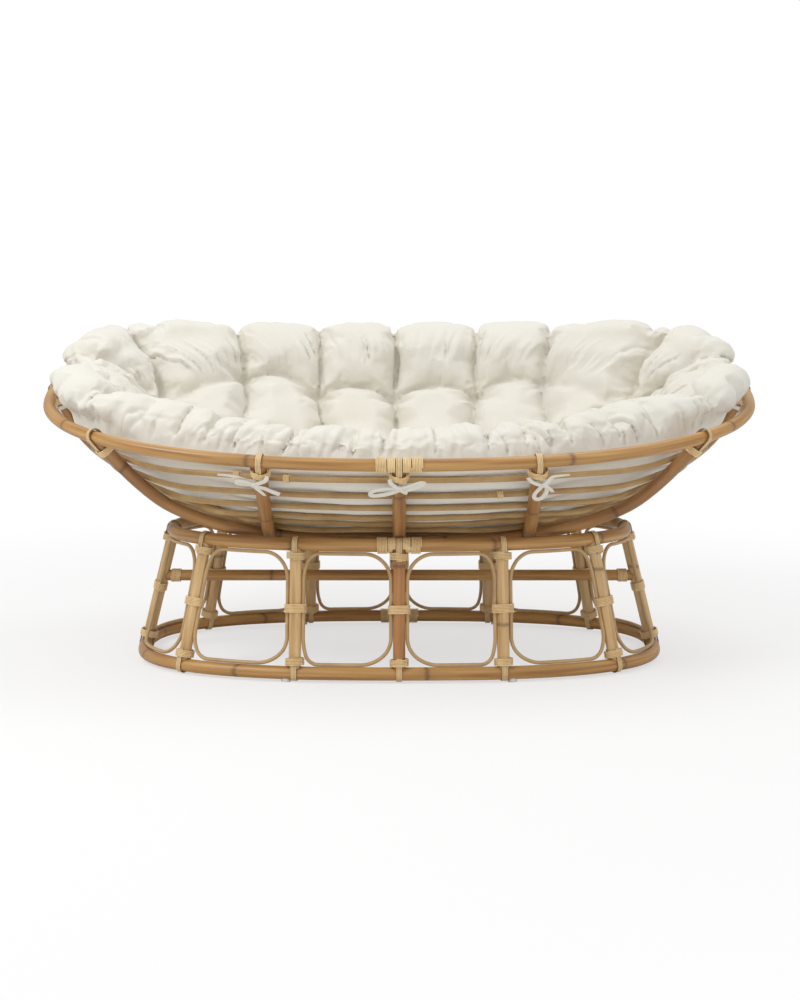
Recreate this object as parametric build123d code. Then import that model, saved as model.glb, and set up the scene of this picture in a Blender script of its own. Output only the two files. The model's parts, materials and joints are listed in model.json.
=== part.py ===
from build123d import *
import math
import os

# A two-seat papasan: an oval bowl of rattan poles, lined by a tufted cushion, that rests and
# tips in an oval drum stand. Millimetres. X runs along the length, Y to the back, Z up. The
# origin is on the floor under the middle of the seat.

# Pole, cane and tape sizes
rim_diameter = 26
ring_diameter = 28
post_diameter = 26
stretcher_diameter = 25
cross_bow_diameter = 28
long_bow_diameter = 27
loop_diameter = 8
hoop_diameter = 12
strand_diameter = 2.6
strand_gap = 0.5
strap_width = 12
strap_thickness = 2
clearance = 0.3

# Stand
glide_diameter = 20
glide_height = 5
bottom_ring_half_length = 584
bottom_ring_half_width = 300
bottom_ring_power_share = 2.58
top_ring_half_length = 515
top_ring_half_width = 267
top_ring_power_share = 2.27
top_ring_lift = 270
post_top_shares = (1, 0.8155, 0.4252, 0)
post_bottom_shares = (1, 0.8048, 0.3801, 0)
stretcher_lift = 158
loop_run_shares = (0.28, 0.5, 0.72)
loop_side_shares = (0.28, 0.72)

# Bowl, in its own frame: the rim centre is at zero and the rim lies level
rim_half_length = 787
rim_half_width = 477.5
rim_power_share = 2.44
rim_end_rise = 16
axis_rise = 176.28
side_bow_x = 280
cross_bow_knot_share = 0.3
long_bow_lift = 1.5
rest_tilt = 13.3
side_long_rim_share = 0.6953
side_long_bottom_share = 0.578
side_long_knot_shares = ((0.425, 0.168, 0.661), (0.685, 0.406, 1.434))
side_long_end_shares = (0.235, 2.287)
middle_long_knot_shares = ((0.631, 0.336, 1.111), (0.905, 0.706, 2.356))
middle_long_end_shares = (0.188, 3.786)
lap_slack = 3.5
cope_turn = 5
hoop_depth_shares = (0.1443, 0.2765, 0.3877, 0.4899, 0.562, 0.6282, 0.7213, 0.8115)
corner_spacing_share = 1.45

# Bindings
binding_leg = 40
post_binding_turns = 5
rim_binding_turns = 5
middle_binding_turns = 6
splice_start = 25
stretcher_wrap_start = 20
splice_turns = 7
hoop_splice_turns = 4
bow_slack = 0.6
ring_slack = 1
hoop_seat = 0.7
hoop_splice_shares = ((0, -0.419), (0, -0.292), (1, 0.26), (1, 0.381))
splice_samples = 400

# Ties
tie_width = 9
tie_thickness = 1.6
tie_drop = 42
tie_knot_diameter = 13
tie_knot_height = 12
tie_tail_radius = 34
tie_tail_turns = (105, 85)

# Cushion, in the frame of the bowl
cushion_gap = 0.8
cushion_end_slack = 9
cushion_thickness = 105
tuft_pull = 38
tuft_pitch = 195
crest_inset = 78
crest_rise = 54
crown_rise = 16
edge_inset = 22
end_column_share = 0.718
end_row_shares = ((0.8196, 0.3, 0.45, 1), (0.8895, 0.3, 0.9, 1), (0.9428, 0.3, 1, 0.85))
least_crest_share = 0.6
edge_bulge_share = 0.32
lobe_bulge_share = 0.14
tuft_angles = (-48, -16, 16, 48)
rim_angle = 69
tuft_columns = 3

ring_nodes = 16
path_samples = 60
gap_samples = 24
tiny_share = 1e-7
winding_gaps = []


def unit(vector):
    return vector.normalized()


def biarc(start, start_way, end, end_way):
    """Two tangent arcs from start to end, or one straight run, as a list of edges."""
    chord = end - start
    both = start_way + end_way
    turn = 2 * (1 - start_way.dot(end_way))
    if turn < tiny_share:
        if abs(chord.dot(start_way)) > (1 - tiny_share) * chord.length:
            return [Line(start, end)]
        reach = chord.dot(chord) / (4 * chord.dot(end_way))
    else:
        along = chord.dot(both)
        reach = (-along + math.sqrt(along * along + turn * chord.dot(chord))) / turn
    first = start + start_way * reach
    second = end - end_way * reach
    middle = (first + second) * 0.5
    return [
        arc_or_line(start, middle, start_way),
        arc_or_line(middle, end, unit(second - first)),
    ]


def arc_or_line(start, end, way):
    if unit(end - start).cross(way).length < tiny_share:
        return Line(start, end)
    return TangentArc(start, end, tangent=way)


def path_of(nodes):
    """A smooth wire through nodes, each a point and a unit direction."""
    edges = []
    for (start, start_way), (end, end_way) in zip(nodes, nodes[1:]):
        edges += biarc(start, start_way, end, end_way)
    return Wire(edges)


def tube(nodes, diameter):
    path = path_of(nodes)
    section = Plane(origin=path @ 0, z_dir=path % 0) * Circle(diameter / 2)
    return sweep(section, path=path)


def closed_tube(nodes, diameter):
    """A closed loop of pole, as two halves that meet end to end."""
    half = len(nodes) // 2
    return tube(nodes[: half + 1], diameter) + tube(nodes[half:], diameter)


def rod(start, end, diameter):
    way = unit(end - start)
    return extrude(Plane(origin=start, z_dir=way) * Circle(diameter / 2), (end - start).length)


def oval_y(half_length, half_width, power, x):
    return half_width * max(0.0, 1 - (abs(x) / half_length) ** power) ** (1 / power)


def oval_turn(half_length, power, x):
    """The turn angle, from 0 at +X to 180 at -X, at which an oval is at x."""
    share = (abs(x) / half_length) ** (power / 2)
    return math.degrees(math.acos(math.copysign(min(1.0, share), x)))


def oval_node(half_length, half_width, power, turn, rise=0):
    """A point of a squared oval and its direction. Its ends are raised by rise."""
    across, deep = math.cos(math.radians(turn)), math.sin(math.radians(turn))
    x_share = math.copysign(abs(across) ** (2 / power), across)
    y_share = math.copysign(abs(deep) ** (2 / power), deep)
    x_pull = math.copysign(abs(x_share) ** (power - 1), x_share) / half_length
    y_pull = math.copysign(abs(y_share) ** (power - 1), y_share) / half_width
    lift = rise * x_share ** 2
    slope = 2 * rise * x_share / half_length
    point = Vector(half_length * x_share, half_width * y_share, lift)
    return point, unit(Vector(-y_pull, x_pull, -y_pull * slope))


def closed_oval(half_length, half_width, power, rise=0):
    step = 360 / ring_nodes
    return [oval_node(half_length, half_width, power, step * k, rise) for k in range(ring_nodes + 1)]


def save(name, pieces, place):
    """Write one node: a solid, or a group of separate solids."""
    if isinstance(pieces, list):
        solids = [place * solid for piece in pieces for solid in piece.solids()]
        shape = solids[0] if len(solids) == 1 else Compound(children=solids)
    else:
        shape = place * pieces
    export_step(shape, f"parts/{name}.step")


def least_gap(path, turns, diameter):
    """The least gap between the turns of a winding, from points on its path."""
    count = gap_samples * turns
    points = [tuple(path @ (k / count)) for k in range(count + 1)]
    apart = gap_samples // 2
    return min(
        math.dist(point, other) for k, point in enumerate(points) for other in points[k + apart:]
    ) - diameter


def winding(centre, axis, half_across, half_deep, across_way, turns, diameter):
    """A strand that winds turns times round an axis, on an oval of two half sizes."""
    deep_way = axis.cross(across_way)
    pitch = diameter + strand_gap
    climb = pitch / 4
    nodes = []
    for quarter in range(4 * turns + 1):
        angle = math.radians(90 * quarter)
        point = centre + axis * (climb * quarter)
        point += across_way * (half_across * math.cos(angle))
        point += deep_way * (half_deep * math.sin(angle))
        way = across_way * (-half_across * math.sin(angle))
        way += deep_way * (half_deep * math.cos(angle))
        way += axis * (2 * climb / math.pi)
        nodes.append((point, unit(way)))
    winding_gaps.append(least_gap(path_of(nodes), turns, diameter))
    return tube(nodes, diameter)


def strap(joint, way, side, inner_radius, leg, lift):
    """A flat strap over a pole: two legs along way, and a half turn that is lift past the joint."""
    radius = inner_radius + strap_thickness / 2
    down = way * (leg + lift)
    top = joint - way * lift
    path = Wire([
        Line(top + side * radius + down, top + side * radius),
        TangentArc(top + side * radius, top - way * radius, tangent=-way),
        TangentArc(top - way * radius, top - side * radius, tangent=-side),
        Line(top - side * radius, top - side * radius + down),
    ])
    section = Plane(origin=path @ 0, x_dir=side, z_dir=path % 0)
    return sweep(section * Rectangle(strap_thickness, strap_width), path=path)


def binding(joint, pole_way, cross_way, pole_diameter, turns, slack=0):
    """A strap over the crossed pole and turns round the joined pole, as two solids."""
    lean = abs(cross_way.dot(pole_way))
    straight = math.sqrt(1 - lean ** 2)
    across = unit(cross_way - pole_way * cross_way.dot(pole_way))
    side = pole_way.cross(across)
    inner = pole_diameter / 2 + clearance + slack
    lift = (inner * (1 - straight) + lean * strap_width / 2) / straight
    corner = math.hypot(inner + strap_thickness, strap_width / 2)
    turn_radius = corner + clearance + strand_diameter / 2
    first = (pole_diameter / 2 + clearance + strand_diameter + lean * turn_radius) / straight
    leg = first + turns * (strand_diameter + strand_gap) + strand_diameter
    over = strap(joint, pole_way, side, inner, leg, lift)
    start = joint + pole_way * first
    round_pole = winding(start, pole_way, turn_radius, turn_radius, side, turns, strand_diameter)
    return [over, round_pole]


# Derived sizes of the stand
post_pole = post_diameter / 2
bottom_ring_z = glide_height + ring_diameter / 2
top_ring_z = bottom_ring_z + top_ring_lift

centre_bow_radius = math.hypot(rim_half_width, axis_rise)

# The centre bow rests in the top ring at its middle, front and back, on the strap over the ring.
# All bows turn about one axis, so the ring touches them the same way at any tilt.
contact_reach = (
    centre_bow_radius + cross_bow_diameter / 2 + ring_diameter / 2 + strap_thickness + 2 * clearance
)
axis_z = top_ring_z + math.sqrt(contact_reach ** 2 - top_ring_half_width ** 2)
stand_y = -axis_rise * math.sin(math.radians(rest_tilt))
stand_place = Pos(0, stand_y, 0)
bowl_place = Pos(0, stand_y, axis_z) * Rot(rest_tilt, 0, 0) * Pos(0, 0, -axis_rise)

bottom_ring = (bottom_ring_half_length, bottom_ring_half_width, bottom_ring_power_share)
top_ring = (top_ring_half_length, top_ring_half_width, top_ring_power_share)
rim_oval = (rim_half_length, rim_half_width, rim_power_share)


def drum_point(top_turn, bottom_turn, drop_share):
    """A point of the drum between its two rings, and the direction round the drum there."""
    top_point, top_way = oval_node(*top_ring, top_turn)
    bottom_point, bottom_way = oval_node(*bottom_ring, bottom_turn)
    top_point += Vector(0, 0, top_ring_z)
    bottom_point += Vector(0, 0, bottom_ring_z)
    point = top_point * (1 - drop_share) + bottom_point * drop_share
    return point, unit(top_way * (1 - drop_share) + bottom_way * drop_share)


def make_post_turns():
    """The turn angles of the twelve posts on the two rings, counter-clockwise from +X."""
    first = [
        (oval_turn(1, top_ring_power_share, top), oval_turn(1, bottom_ring_power_share, bottom))
        for top, bottom in zip(post_top_shares, post_bottom_shares)
    ]
    second = [(180 - top, 180 - bottom) for top, bottom in reversed(first[:-1])]
    back = first + second
    front = [(180 + top, 180 + bottom) for top, bottom in back[1:-1]]
    return back + front


post_turns = make_post_turns()
post_names = (
    "post_right_end", "post_back_right_corner", "post_back_right", "post_back_centre",
    "post_back_left", "post_back_left_corner", "post_left_end", "post_front_left_corner",
    "post_front_left", "post_front_centre", "post_front_right", "post_front_right_corner",
)
loop_names = (
    "loop_back_right_end", "loop_back_right_outer", "loop_back_right_inner",
    "loop_back_left_inner", "loop_back_left_outer", "loop_back_left_end",
    "loop_front_left_end", "loop_front_left_outer", "loop_front_left_inner",
    "loop_front_right_inner", "loop_front_right_outer", "loop_front_right_end",
)


def post_ends(index):
    top_turn, bottom_turn = post_turns[index % len(post_turns)]
    return drum_point(top_turn, bottom_turn, 0)[0], drum_point(top_turn, bottom_turn, 1)[0]


def make_rings():
    bottom = Pos(0, 0, bottom_ring_z) * tube(closed_oval(*bottom_ring), ring_diameter)
    top = Pos(0, 0, top_ring_z) * tube(closed_oval(*top_ring), ring_diameter)
    grown = ring_diameter + 2 * clearance
    cutters = (
        Pos(0, 0, top_ring_z) * tube(closed_oval(*top_ring), grown)
        + Pos(0, 0, bottom_ring_z) * tube(closed_oval(*bottom_ring), grown)
    )
    return bottom, top, cutters


def make_post(index, cutters):
    """A straight pole whose two ends are hollowed to sit on the rings."""
    top_point, bottom_point = post_ends(index)
    down = unit(bottom_point - top_point)
    inset = ring_diameter / 4
    return rod(top_point + down * inset, bottom_point - down * inset, post_diameter) - cutters


def make_loop(index):
    """A thin pole bent to a rounded rectangle that touches two posts and both rings."""
    top_a, bottom_a = post_turns[index]
    top_b, bottom_b = post_turns[(index + 1) % len(post_turns)]
    if index == len(post_turns) - 1:
        top_b, bottom_b = 360, 360
    ring_drop = (ring_diameter + loop_diameter) / 2 + clearance
    side_shift = (post_diameter + loop_diameter) / 2 + clearance
    run_drops = (ring_drop / top_ring_lift, 1 - ring_drop / top_ring_lift)

    def panel(share, drop_share):
        top_turn = top_a + share * (top_b - top_a)
        bottom_turn = bottom_a + share * (bottom_b - bottom_a)
        return drum_point(top_turn, bottom_turn, drop_share)

    def side_node(share, drop_share, upward):
        top_point, bottom_point = panel(share, 0)[0], panel(share, 1)[0]
        axis = unit(top_point - bottom_point)
        point, round_way = panel(share, drop_share)
        inward = round_way * (1 - 2 * share)
        inward = unit(inward - axis * inward.dot(axis))
        return point + inward * side_shift, axis * upward

    nodes = [panel(share, run_drops[0]) for share in loop_run_shares[1:]]
    nodes += [side_node(1, share, -1) for share in loop_side_shares]
    for share in reversed(loop_run_shares):
        point, way = panel(share, run_drops[1])
        nodes.append((point, -way))
    nodes += [side_node(0, share, 1) for share in reversed(loop_side_shares)]
    nodes += [panel(share, run_drops[0]) for share in loop_run_shares[:2]]
    return closed_tube(nodes, loop_diameter)


def make_stretcher():
    share = (top_ring_lift - stretcher_lift) / top_ring_lift
    half = top_ring_half_length + (bottom_ring_half_length - top_ring_half_length) * share
    half -= post_diameter / 4
    z = bottom_ring_z + stretcher_lift
    bar = rod(Vector(-half, 0, z), Vector(half, 0, z), stretcher_diameter)
    for index in (0, 6):
        top_point, bottom_point = post_ends(index)
        bar -= rod(top_point, bottom_point, post_diameter + 2 * clearance)
    return bar


def make_stand_bindings():
    top_group, bottom_group, middle_group = [], [], []
    for index in range(len(post_turns)):
        top_turn, bottom_turn = post_turns[index]
        top_point, bottom_point = post_ends(index)
        down = unit(bottom_point - top_point)
        top_way = drum_point(top_turn, bottom_turn, 0)[1]
        bottom_way = drum_point(top_turn, bottom_turn, 1)[1]
        slack = (ring_diameter - post_diameter) / 2 + clearance
        top_group += binding(top_point, down, top_way, post_diameter, post_binding_turns, slack)
        bottom_group += binding(
            bottom_point, -down, bottom_way, post_diameter, post_binding_turns, slack
        )
        middle_way = drum_point(top_turn, bottom_turn, 0.5)[1]
        across = unit(middle_way - down * middle_way.dot(down))
        skin = clearance + strand_diameter / 2
        height = middle_binding_turns * (strand_diameter + strand_gap)
        start = (top_point + bottom_point) * 0.5 - down * (height / 2)
        middle_group.append(winding(
            start, down, post_pole + clearance + loop_diameter + skin, post_pole + skin,
            across, middle_binding_turns, strand_diameter
        ))
    return top_group, bottom_group, middle_group


def make_stretcher_bindings():
    """Turns round each end of the stretcher, beside the loops of the end post."""
    group = []
    share = (top_ring_lift - stretcher_lift) / top_ring_lift
    half = top_ring_half_length + (bottom_ring_half_length - top_ring_half_length) * share
    z = bottom_ring_z + stretcher_lift
    radius = stretcher_diameter / 2 + clearance + strand_diameter / 2
    for side in (1, -1):
        start = Vector(side * (half - stretcher_wrap_start), 0, z)
        axis = Vector(-side, 0, 0)
        group.append(winding(
            start, axis, radius, radius, Vector(0, side, 0), splice_turns, strand_diameter
        ))
    return group


def splice_pair(centre, way, pole_diameter):
    """Two wraps round a pole, one on each side of the binding of another pole."""
    radius = pole_diameter / 2 + clearance + ring_slack + strand_diameter / 2
    group = []
    for side in (1, -1):
        axis = way * side
        across = unit(axis.cross(Vector(0, 0, 1)))
        group.append(winding(
            centre + axis * splice_start, axis, radius, radius, across, splice_turns,
            strand_diameter
        ))
    return group


def make_glides(cutters):
    """Round pads under the bottom ring, each just outside the strap of an inner post."""
    shift = (strap_width + glide_diameter) / 2 + strand_diameter
    group = []
    for index in (2, 4, 8, 10):
        bottom_point = post_ends(index)[1]
        x = bottom_point.X + math.copysign(shift, bottom_point.X)
        y = math.copysign(oval_y(*bottom_ring, x), bottom_point.Y)
        disc = Pos(x, y, 0) * Cylinder(
            glide_diameter / 2, bottom_ring_z, align=(Align.CENTER, Align.CENTER, Align.MIN)
        )
        seat = disc - cutters
        group.append(seat.solids().sort_by(Axis.Z)[0])
    return group


# The bowl
def rim_height(x):
    return rim_end_rise * (x / rim_half_length) ** 2


def bow_radius(x):
    """The radius about the tilting axis at which the bowl reaches the rim, at a place along X."""
    return math.hypot(oval_y(*rim_oval, x), axis_rise - rim_height(x))


def cross_bow_nodes(x, radius, end_gap):
    top = math.atan2(oval_y(*rim_oval, x), axis_rise - rim_height(x)) - end_gap / radius
    nodes = []
    for angle in (-top, cross_bow_knot_share * top, top):
        point = Vector(x, radius * math.sin(angle), axis_rise - radius * math.cos(angle))
        nodes.append((point, Vector(0, math.cos(angle), math.sin(angle))))
    return nodes


class LongBow:
    """A long bow: its half outline as nodes of x, depth and slope, in a leaning plane.

    The places and slopes of the knots are shares of the run and rise past the side bow.
    """

    def __init__(self, side):
        self.side = side
        rim_y = side_long_rim_share * rim_half_width if side else 0
        bottom_y = side_long_bottom_share * rim_half_width if side else 0
        self.rim_x = oval_y(rim_half_width, rim_half_length, rim_power_share, rim_y)
        self.rim_z = rim_height(self.rim_x)
        self.rim_y = rim_y
        bottom_radius = centre_bow_radius - long_bow_lift
        bottom_z = axis_rise - math.sqrt(bottom_radius ** 2 - bottom_y ** 2)
        self.lean = (rim_y - bottom_y) / (self.rim_z - bottom_z)
        self.bottom_z = bottom_z
        self.side_z = self.depth_at_radius(bow_radius(side_bow_x) - long_bow_lift)
        self.ends = side_long_end_shares if side else middle_long_end_shares
        self.knots = side_long_knot_shares if side else middle_long_knot_shares

    def y_at(self, z):
        return self.rim_y + self.lean * (z - self.rim_z)

    def depth_at_radius(self, radius):
        """The depth in the leaning plane that lies at a radius about the tilting axis."""
        base = self.rim_y - self.lean * self.rim_z
        square = 1 + self.lean ** 2
        half = base * self.lean - axis_rise
        rest = base ** 2 + axis_rise ** 2 - radius ** 2
        return (-half - math.sqrt(half ** 2 - square * rest)) / square

    def half_outline(self, inset):
        """Nodes of one half as x, z and slope, moved inwards by inset."""
        span = self.rim_x - side_bow_x
        rise = self.rim_z - self.side_z
        rows = [(0, self.bottom_z, 0), (side_bow_x, self.side_z, self.ends[0])]
        rows += [(side_bow_x + a * span, self.side_z + b * rise, c) for a, b, c in self.knots]
        rows.append((self.rim_x, self.rim_z, self.ends[1]))
        moved = []
        for x, z, slope_share in rows:
            slope = math.atan(slope_share * rise / span)
            moved.append((x - inset * math.sin(slope), z + inset * math.cos(slope), slope))
        return moved

    def node(self, x, z, slope, mirror):
        point = Vector(mirror * x, self.side * self.y_at(z), z)
        way = Vector(math.cos(slope), mirror * self.side * self.lean * math.sin(slope),
                     mirror * math.sin(slope))
        return point, unit(way)

    def nodes(self, end_gap=0, inset=0):
        half = self.half_outline(inset)
        x, z, slope = half[-1]
        half[-1] = (x - end_gap * math.cos(slope), z - end_gap * math.sin(slope), slope)
        left = [self.node(*row, -1) for row in reversed(half[1:])]
        return left + [self.node(*row, 1) for row in half]


def rim_piece(turn):
    """A short length of the rim, grown by the clearance, that hollows the end of a bow."""
    turns = (turn - cope_turn, turn, turn + cope_turn)
    nodes = [oval_node(*rim_oval, angle, rim_end_rise) for angle in turns]
    return tube(nodes, rim_diameter + 2 * clearance)


def lap_boxes(x, radius, angle):
    """Cutters of a half lap where a long bow crosses a cross bow: for the one, for the other."""
    centre = Vector(x, radius * math.sin(angle), axis_rise - radius * math.cos(angle))
    inward = Vector(0, -math.sin(angle), math.cos(angle))
    plane = Plane(origin=centre, x_dir=(1, 0, 0), z_dir=inward)
    notch = long_bow_diameter + 2 * lap_slack
    width = cross_bow_diameter + 2 * clearance
    low = (Align.CENTER, Align.CENTER, Align.MIN)
    high = (Align.CENTER, Align.CENTER, Align.MAX)
    upper = plane * (Pos(0, 0, -clearance / 2) * Box(width, notch, long_bow_diameter, align=low))
    lower = plane * (Pos(0, 0, clearance / 2) * Box(width, notch, long_bow_diameter, align=high))
    return upper, lower


def make_bows():
    """The six bows, half lapped where they cross and hollowed at the rim."""
    gap = rim_diameter / 4
    long_bows = {side: LongBow(side) for side in (-1, 0, 1)}
    cross = {
        x: tube(cross_bow_nodes(x, bow_radius(x), gap), cross_bow_diameter)
        for x in (-side_bow_x, 0, side_bow_x)
    }
    long = {side: tube(bow.nodes(gap), long_bow_diameter) for side, bow in long_bows.items()}
    for x in cross:
        radius = bow_radius(x)
        for side, bow in long_bows.items():
            z = bow.side_z if x else bow.bottom_z
            angle = math.asin(side * bow.y_at(z) / radius)
            upper, lower = lap_boxes(x, radius, angle)
            cross[x] -= upper
            long[side] -= lower
    for x in cross:
        turn = oval_turn(rim_half_length, rim_power_share, x)
        for end in (-1, 1):
            cross[x] -= rim_piece(end * turn)
    for side, bow in long_bows.items():
        turn = oval_turn(rim_half_length, rim_power_share, bow.rim_x)
        for centre in (side * turn, 180 - side * turn):
            long[side] -= rim_piece(centre)
    return cross, long, long_bows


def level_point(path, level):
    """The point where a path, rising from its middle to its far end, passes a level."""
    low, high = 0.5, 1.0
    for _ in range(30):
        middle = (low + high) / 2
        if (path @ middle).Z < level:
            low = middle
        else:
            high = middle
    return path @ low


def hoop_nodes(level, long_bows):
    """A level hoop that touches the inside of every bow that it passes."""
    spacing = (cross_bow_diameter + hoop_diameter) / 2 + hoop_seat
    long_spacing = (long_bow_diameter + hoop_diameter) / 2 + hoop_seat
    drop = axis_rise - level
    side_radius = bow_radius(side_bow_x)
    middle_y = math.sqrt((centre_bow_radius - spacing) ** 2 - drop ** 2)
    side_y = math.sqrt((side_radius - spacing) ** 2 - drop ** 2)
    end = level_point(path_of(long_bows[0].nodes(0, long_spacing)), level)
    # Past the side bow the hoop runs at a slant, so it needs more room there.
    slant = side_y / side_radius * (middle_y / (end.X + side_bow_x))
    side_y = math.sqrt((side_radius - spacing * math.hypot(1, slant)) ** 2 - drop ** 2)
    points = [Vector(0, middle_y, level), Vector(side_bow_x, side_y, level)]
    corner_path = path_of(long_bows[1].nodes(0, long_spacing * corner_spacing_share))
    corner = level_point(corner_path, level)
    if corner.X > side_bow_x + hoop_diameter and corner.Y < side_y:
        points.append(corner)
    points.append(Vector(end.X, 0, level))
    ways = [Vector(1, 0, 0)]
    ways += [unit(after - before) for before, after in zip(points, points[2:])]
    ways.append(Vector(0, -1, 0))
    quarter = list(zip(points, ways))
    right = quarter[1:-1]
    lower_right = [(Vector(p.X, -p.Y, p.Z), Vector(-w.X, w.Y, 0)) for p, w in reversed(quarter[:-1])]
    upper_left = [(Vector(-p.X, p.Y, p.Z), Vector(w.X, -w.Y, 0)) for p, w in reversed(right)]
    left_end = [(Vector(-end.X, 0, level), Vector(0, 1, 0))]
    lower_left = [(Vector(-p.X, -p.Y, p.Z), Vector(-w.X, -w.Y, 0)) for p, w in right]
    return quarter + lower_right + lower_left + left_end + upper_left + quarter[:1]


class RimJoint:
    """One end of a bow at the rim: places down the bow, and the way along the rim."""

    def __init__(self, path, at_start, side, diameter):
        self.path = path
        self.at_start = at_start
        self.diameter = diameter
        self.joint = path @ (0 if at_start else 1)
        turn = side * oval_turn(rim_half_length, rim_power_share, self.joint.X)
        self.rim_way = oval_node(*rim_oval, turn, rim_end_rise)[1]

    def place(self, drop):
        """The point that lies drop down the bow, and the way down the bow there."""
        share = drop / self.path.length
        if self.at_start:
            return self.path @ share, self.path % share
        return self.path @ (1 - share), (self.path % (1 - share)) * -1


def rim_joints(long_bows):
    """The twelve places where a bow meets the rim."""
    joints = []
    for x in (-side_bow_x, 0, side_bow_x):
        path = path_of(cross_bow_nodes(x, bow_radius(x), 0))
        joints.append(RimJoint(path, True, -1, cross_bow_diameter))
        joints.append(RimJoint(path, False, 1, cross_bow_diameter))
    for side, bow in long_bows.items():
        path = path_of(bow.nodes())
        joints.append(RimJoint(path, True, side or 1, long_bow_diameter))
        joints.append(RimJoint(path, False, side or 1, long_bow_diameter))
    return joints


def make_hoop_splices(hoops_nodes):
    """Short wraps on the front of the upper hoops, where their ends are spliced."""
    group = []
    height = hoop_splice_turns * (strand_diameter + strand_gap)
    radius = hoop_diameter / 2 + clearance + strand_diameter / 2
    for index, share in hoop_splice_shares:
        path = path_of(hoops_nodes[index])
        points = [path @ (k / splice_samples) for k in range(splice_samples)]
        front = [point for point in points if point.Y < 0]
        x = share * rim_half_length
        best = min(front, key=lambda point: abs(point.X - x))
        ahead = min(front, key=lambda point: abs(point.X - x - height))
        way = unit(ahead - best)
        group.append(winding(
            best - way * (height / 2), way, radius, radius, Vector(0, 0, 1),
            hoop_splice_turns, strand_diameter
        ))
    return group


def tie_tail(side, turn_angle):
    """A flat tail in the plane of a tie: it leaves the knot sideways and turns down."""
    turn = math.radians(turn_angle)
    near, far = tie_tail_radius - tie_width / 2, tie_tail_radius + tie_width / 2

    def at(radius, angle):
        y = radius * math.cos(angle) - tie_tail_radius
        return Vector(side * radius * math.sin(angle), y, 0)

    outline = Wire([
        ThreePointArc(at(far, 0), at(far, turn / 2), at(far, turn)),
        Line(at(far, turn), at(near, turn)),
        ThreePointArc(at(near, turn), at(near, turn / 2), at(near, 0)),
        Line(at(near, 0), at(far, 0)),
    ])
    tail = extrude(make_face(outline), tie_thickness, dir=(0, 0, 1))
    return Pos(0, 0, -tie_thickness / 2) * tail


def make_tie(joint):
    """A cotton tie below a rim joint: a band round the bow, a knot outside it and two tails."""
    centre, down = joint.place(tie_drop)
    across = unit(joint.rim_way - down * joint.rim_way.dot(down))
    out = down.cross(across)
    if out.dot(Vector(centre.X, centre.Y, 0)) < 0:
        out = out * -1
        across = across * -1
    inner = joint.diameter / 2 + hoop_seat
    outer = inner + tie_thickness
    band = Cylinder(outer, tie_width) - Cylinder(inner, tie_width)
    tie = Plane(origin=centre, x_dir=across, z_dir=down) * band
    knot_centre = centre + out * (inner + clearance + tie_knot_diameter / 2)
    knot = Plane(origin=knot_centre, x_dir=across, z_dir=out)
    tie += knot * Rot(90, 0, 0) * Cylinder(tie_knot_diameter / 2, tie_knot_height)
    for side, turn_angle in zip((1, -1), tie_tail_turns):
        tie += knot * tie_tail(side, turn_angle)
    return tie


def inner_radius(x, inner_paths):
    """The radius about the tilting axis inside everything that the cushion rests on."""
    radii = []
    x = max(abs(x), tiny_share)
    for path in inner_paths:
        points = [path @ (k / path_samples) for k in range(path_samples + 1)]
        for near, far in zip(points, points[1:]):
            if min(near.X, far.X) <= x < max(near.X, far.X):
                share = (x - near.X) / (far.X - near.X)
                point = near + (far - near) * share
                radii.append(math.hypot(point.Y, axis_rise - point.Z))
    return min(radii)


def cushion_section(x, radius, thin_share, fill_share, crest_share):
    """One section of the cushion across X: outer arc, two edge rolls and five lobes inside."""
    edge_y = oval_y(*rim_oval, x)
    top = math.atan2(edge_y - edge_inset, axis_rise - rim_height(x))
    thickness = cushion_thickness - tuft_pull * thin_share
    inner = radius - thickness
    crown = crown_rise * (1 - thin_share)
    crest_y = max(edge_y - crest_inset, edge_y * least_crest_share)
    crest_z = rim_height(x) + (crest_rise + crown) * crest_share
    tufts = []
    for angle in tuft_angles:
        turn = math.radians(angle) * min(1, top / math.radians(rim_angle))
        y, z = inner * math.sin(turn), axis_rise - inner * math.cos(turn)
        z += (crest_z - z) * fill_share
        tufts.append(Vector(x, y, min(z, crest_z)))
    front_outer = Vector(x, -radius * math.sin(top), axis_rise - radius * math.cos(top))
    back_outer = Vector(x, -front_outer.Y, front_outer.Z)
    crest_front, crest_back = Vector(x, -crest_y, crest_z), Vector(x, crest_y, crest_z)
    points = [front_outer, crest_front] + tufts + [crest_back, back_outer]
    bulges = [edge_bulge_share] + [lobe_bulge_share] * (len(points) - 3) + [edge_bulge_share]
    edges = [ThreePointArc(back_outer, Vector(x, 0, axis_rise - radius), front_outer)]
    for start, end, bulge in zip(points, points[1:], bulges):
        chord = end - start
        normal = unit(Vector(0, -chord.Z, chord.Y))
        middle = (start + end) * 0.5 + normal * (chord.length * bulge)
        edges.append(ThreePointArc(start, middle, end))
    return make_face(Wire(edges))


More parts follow.
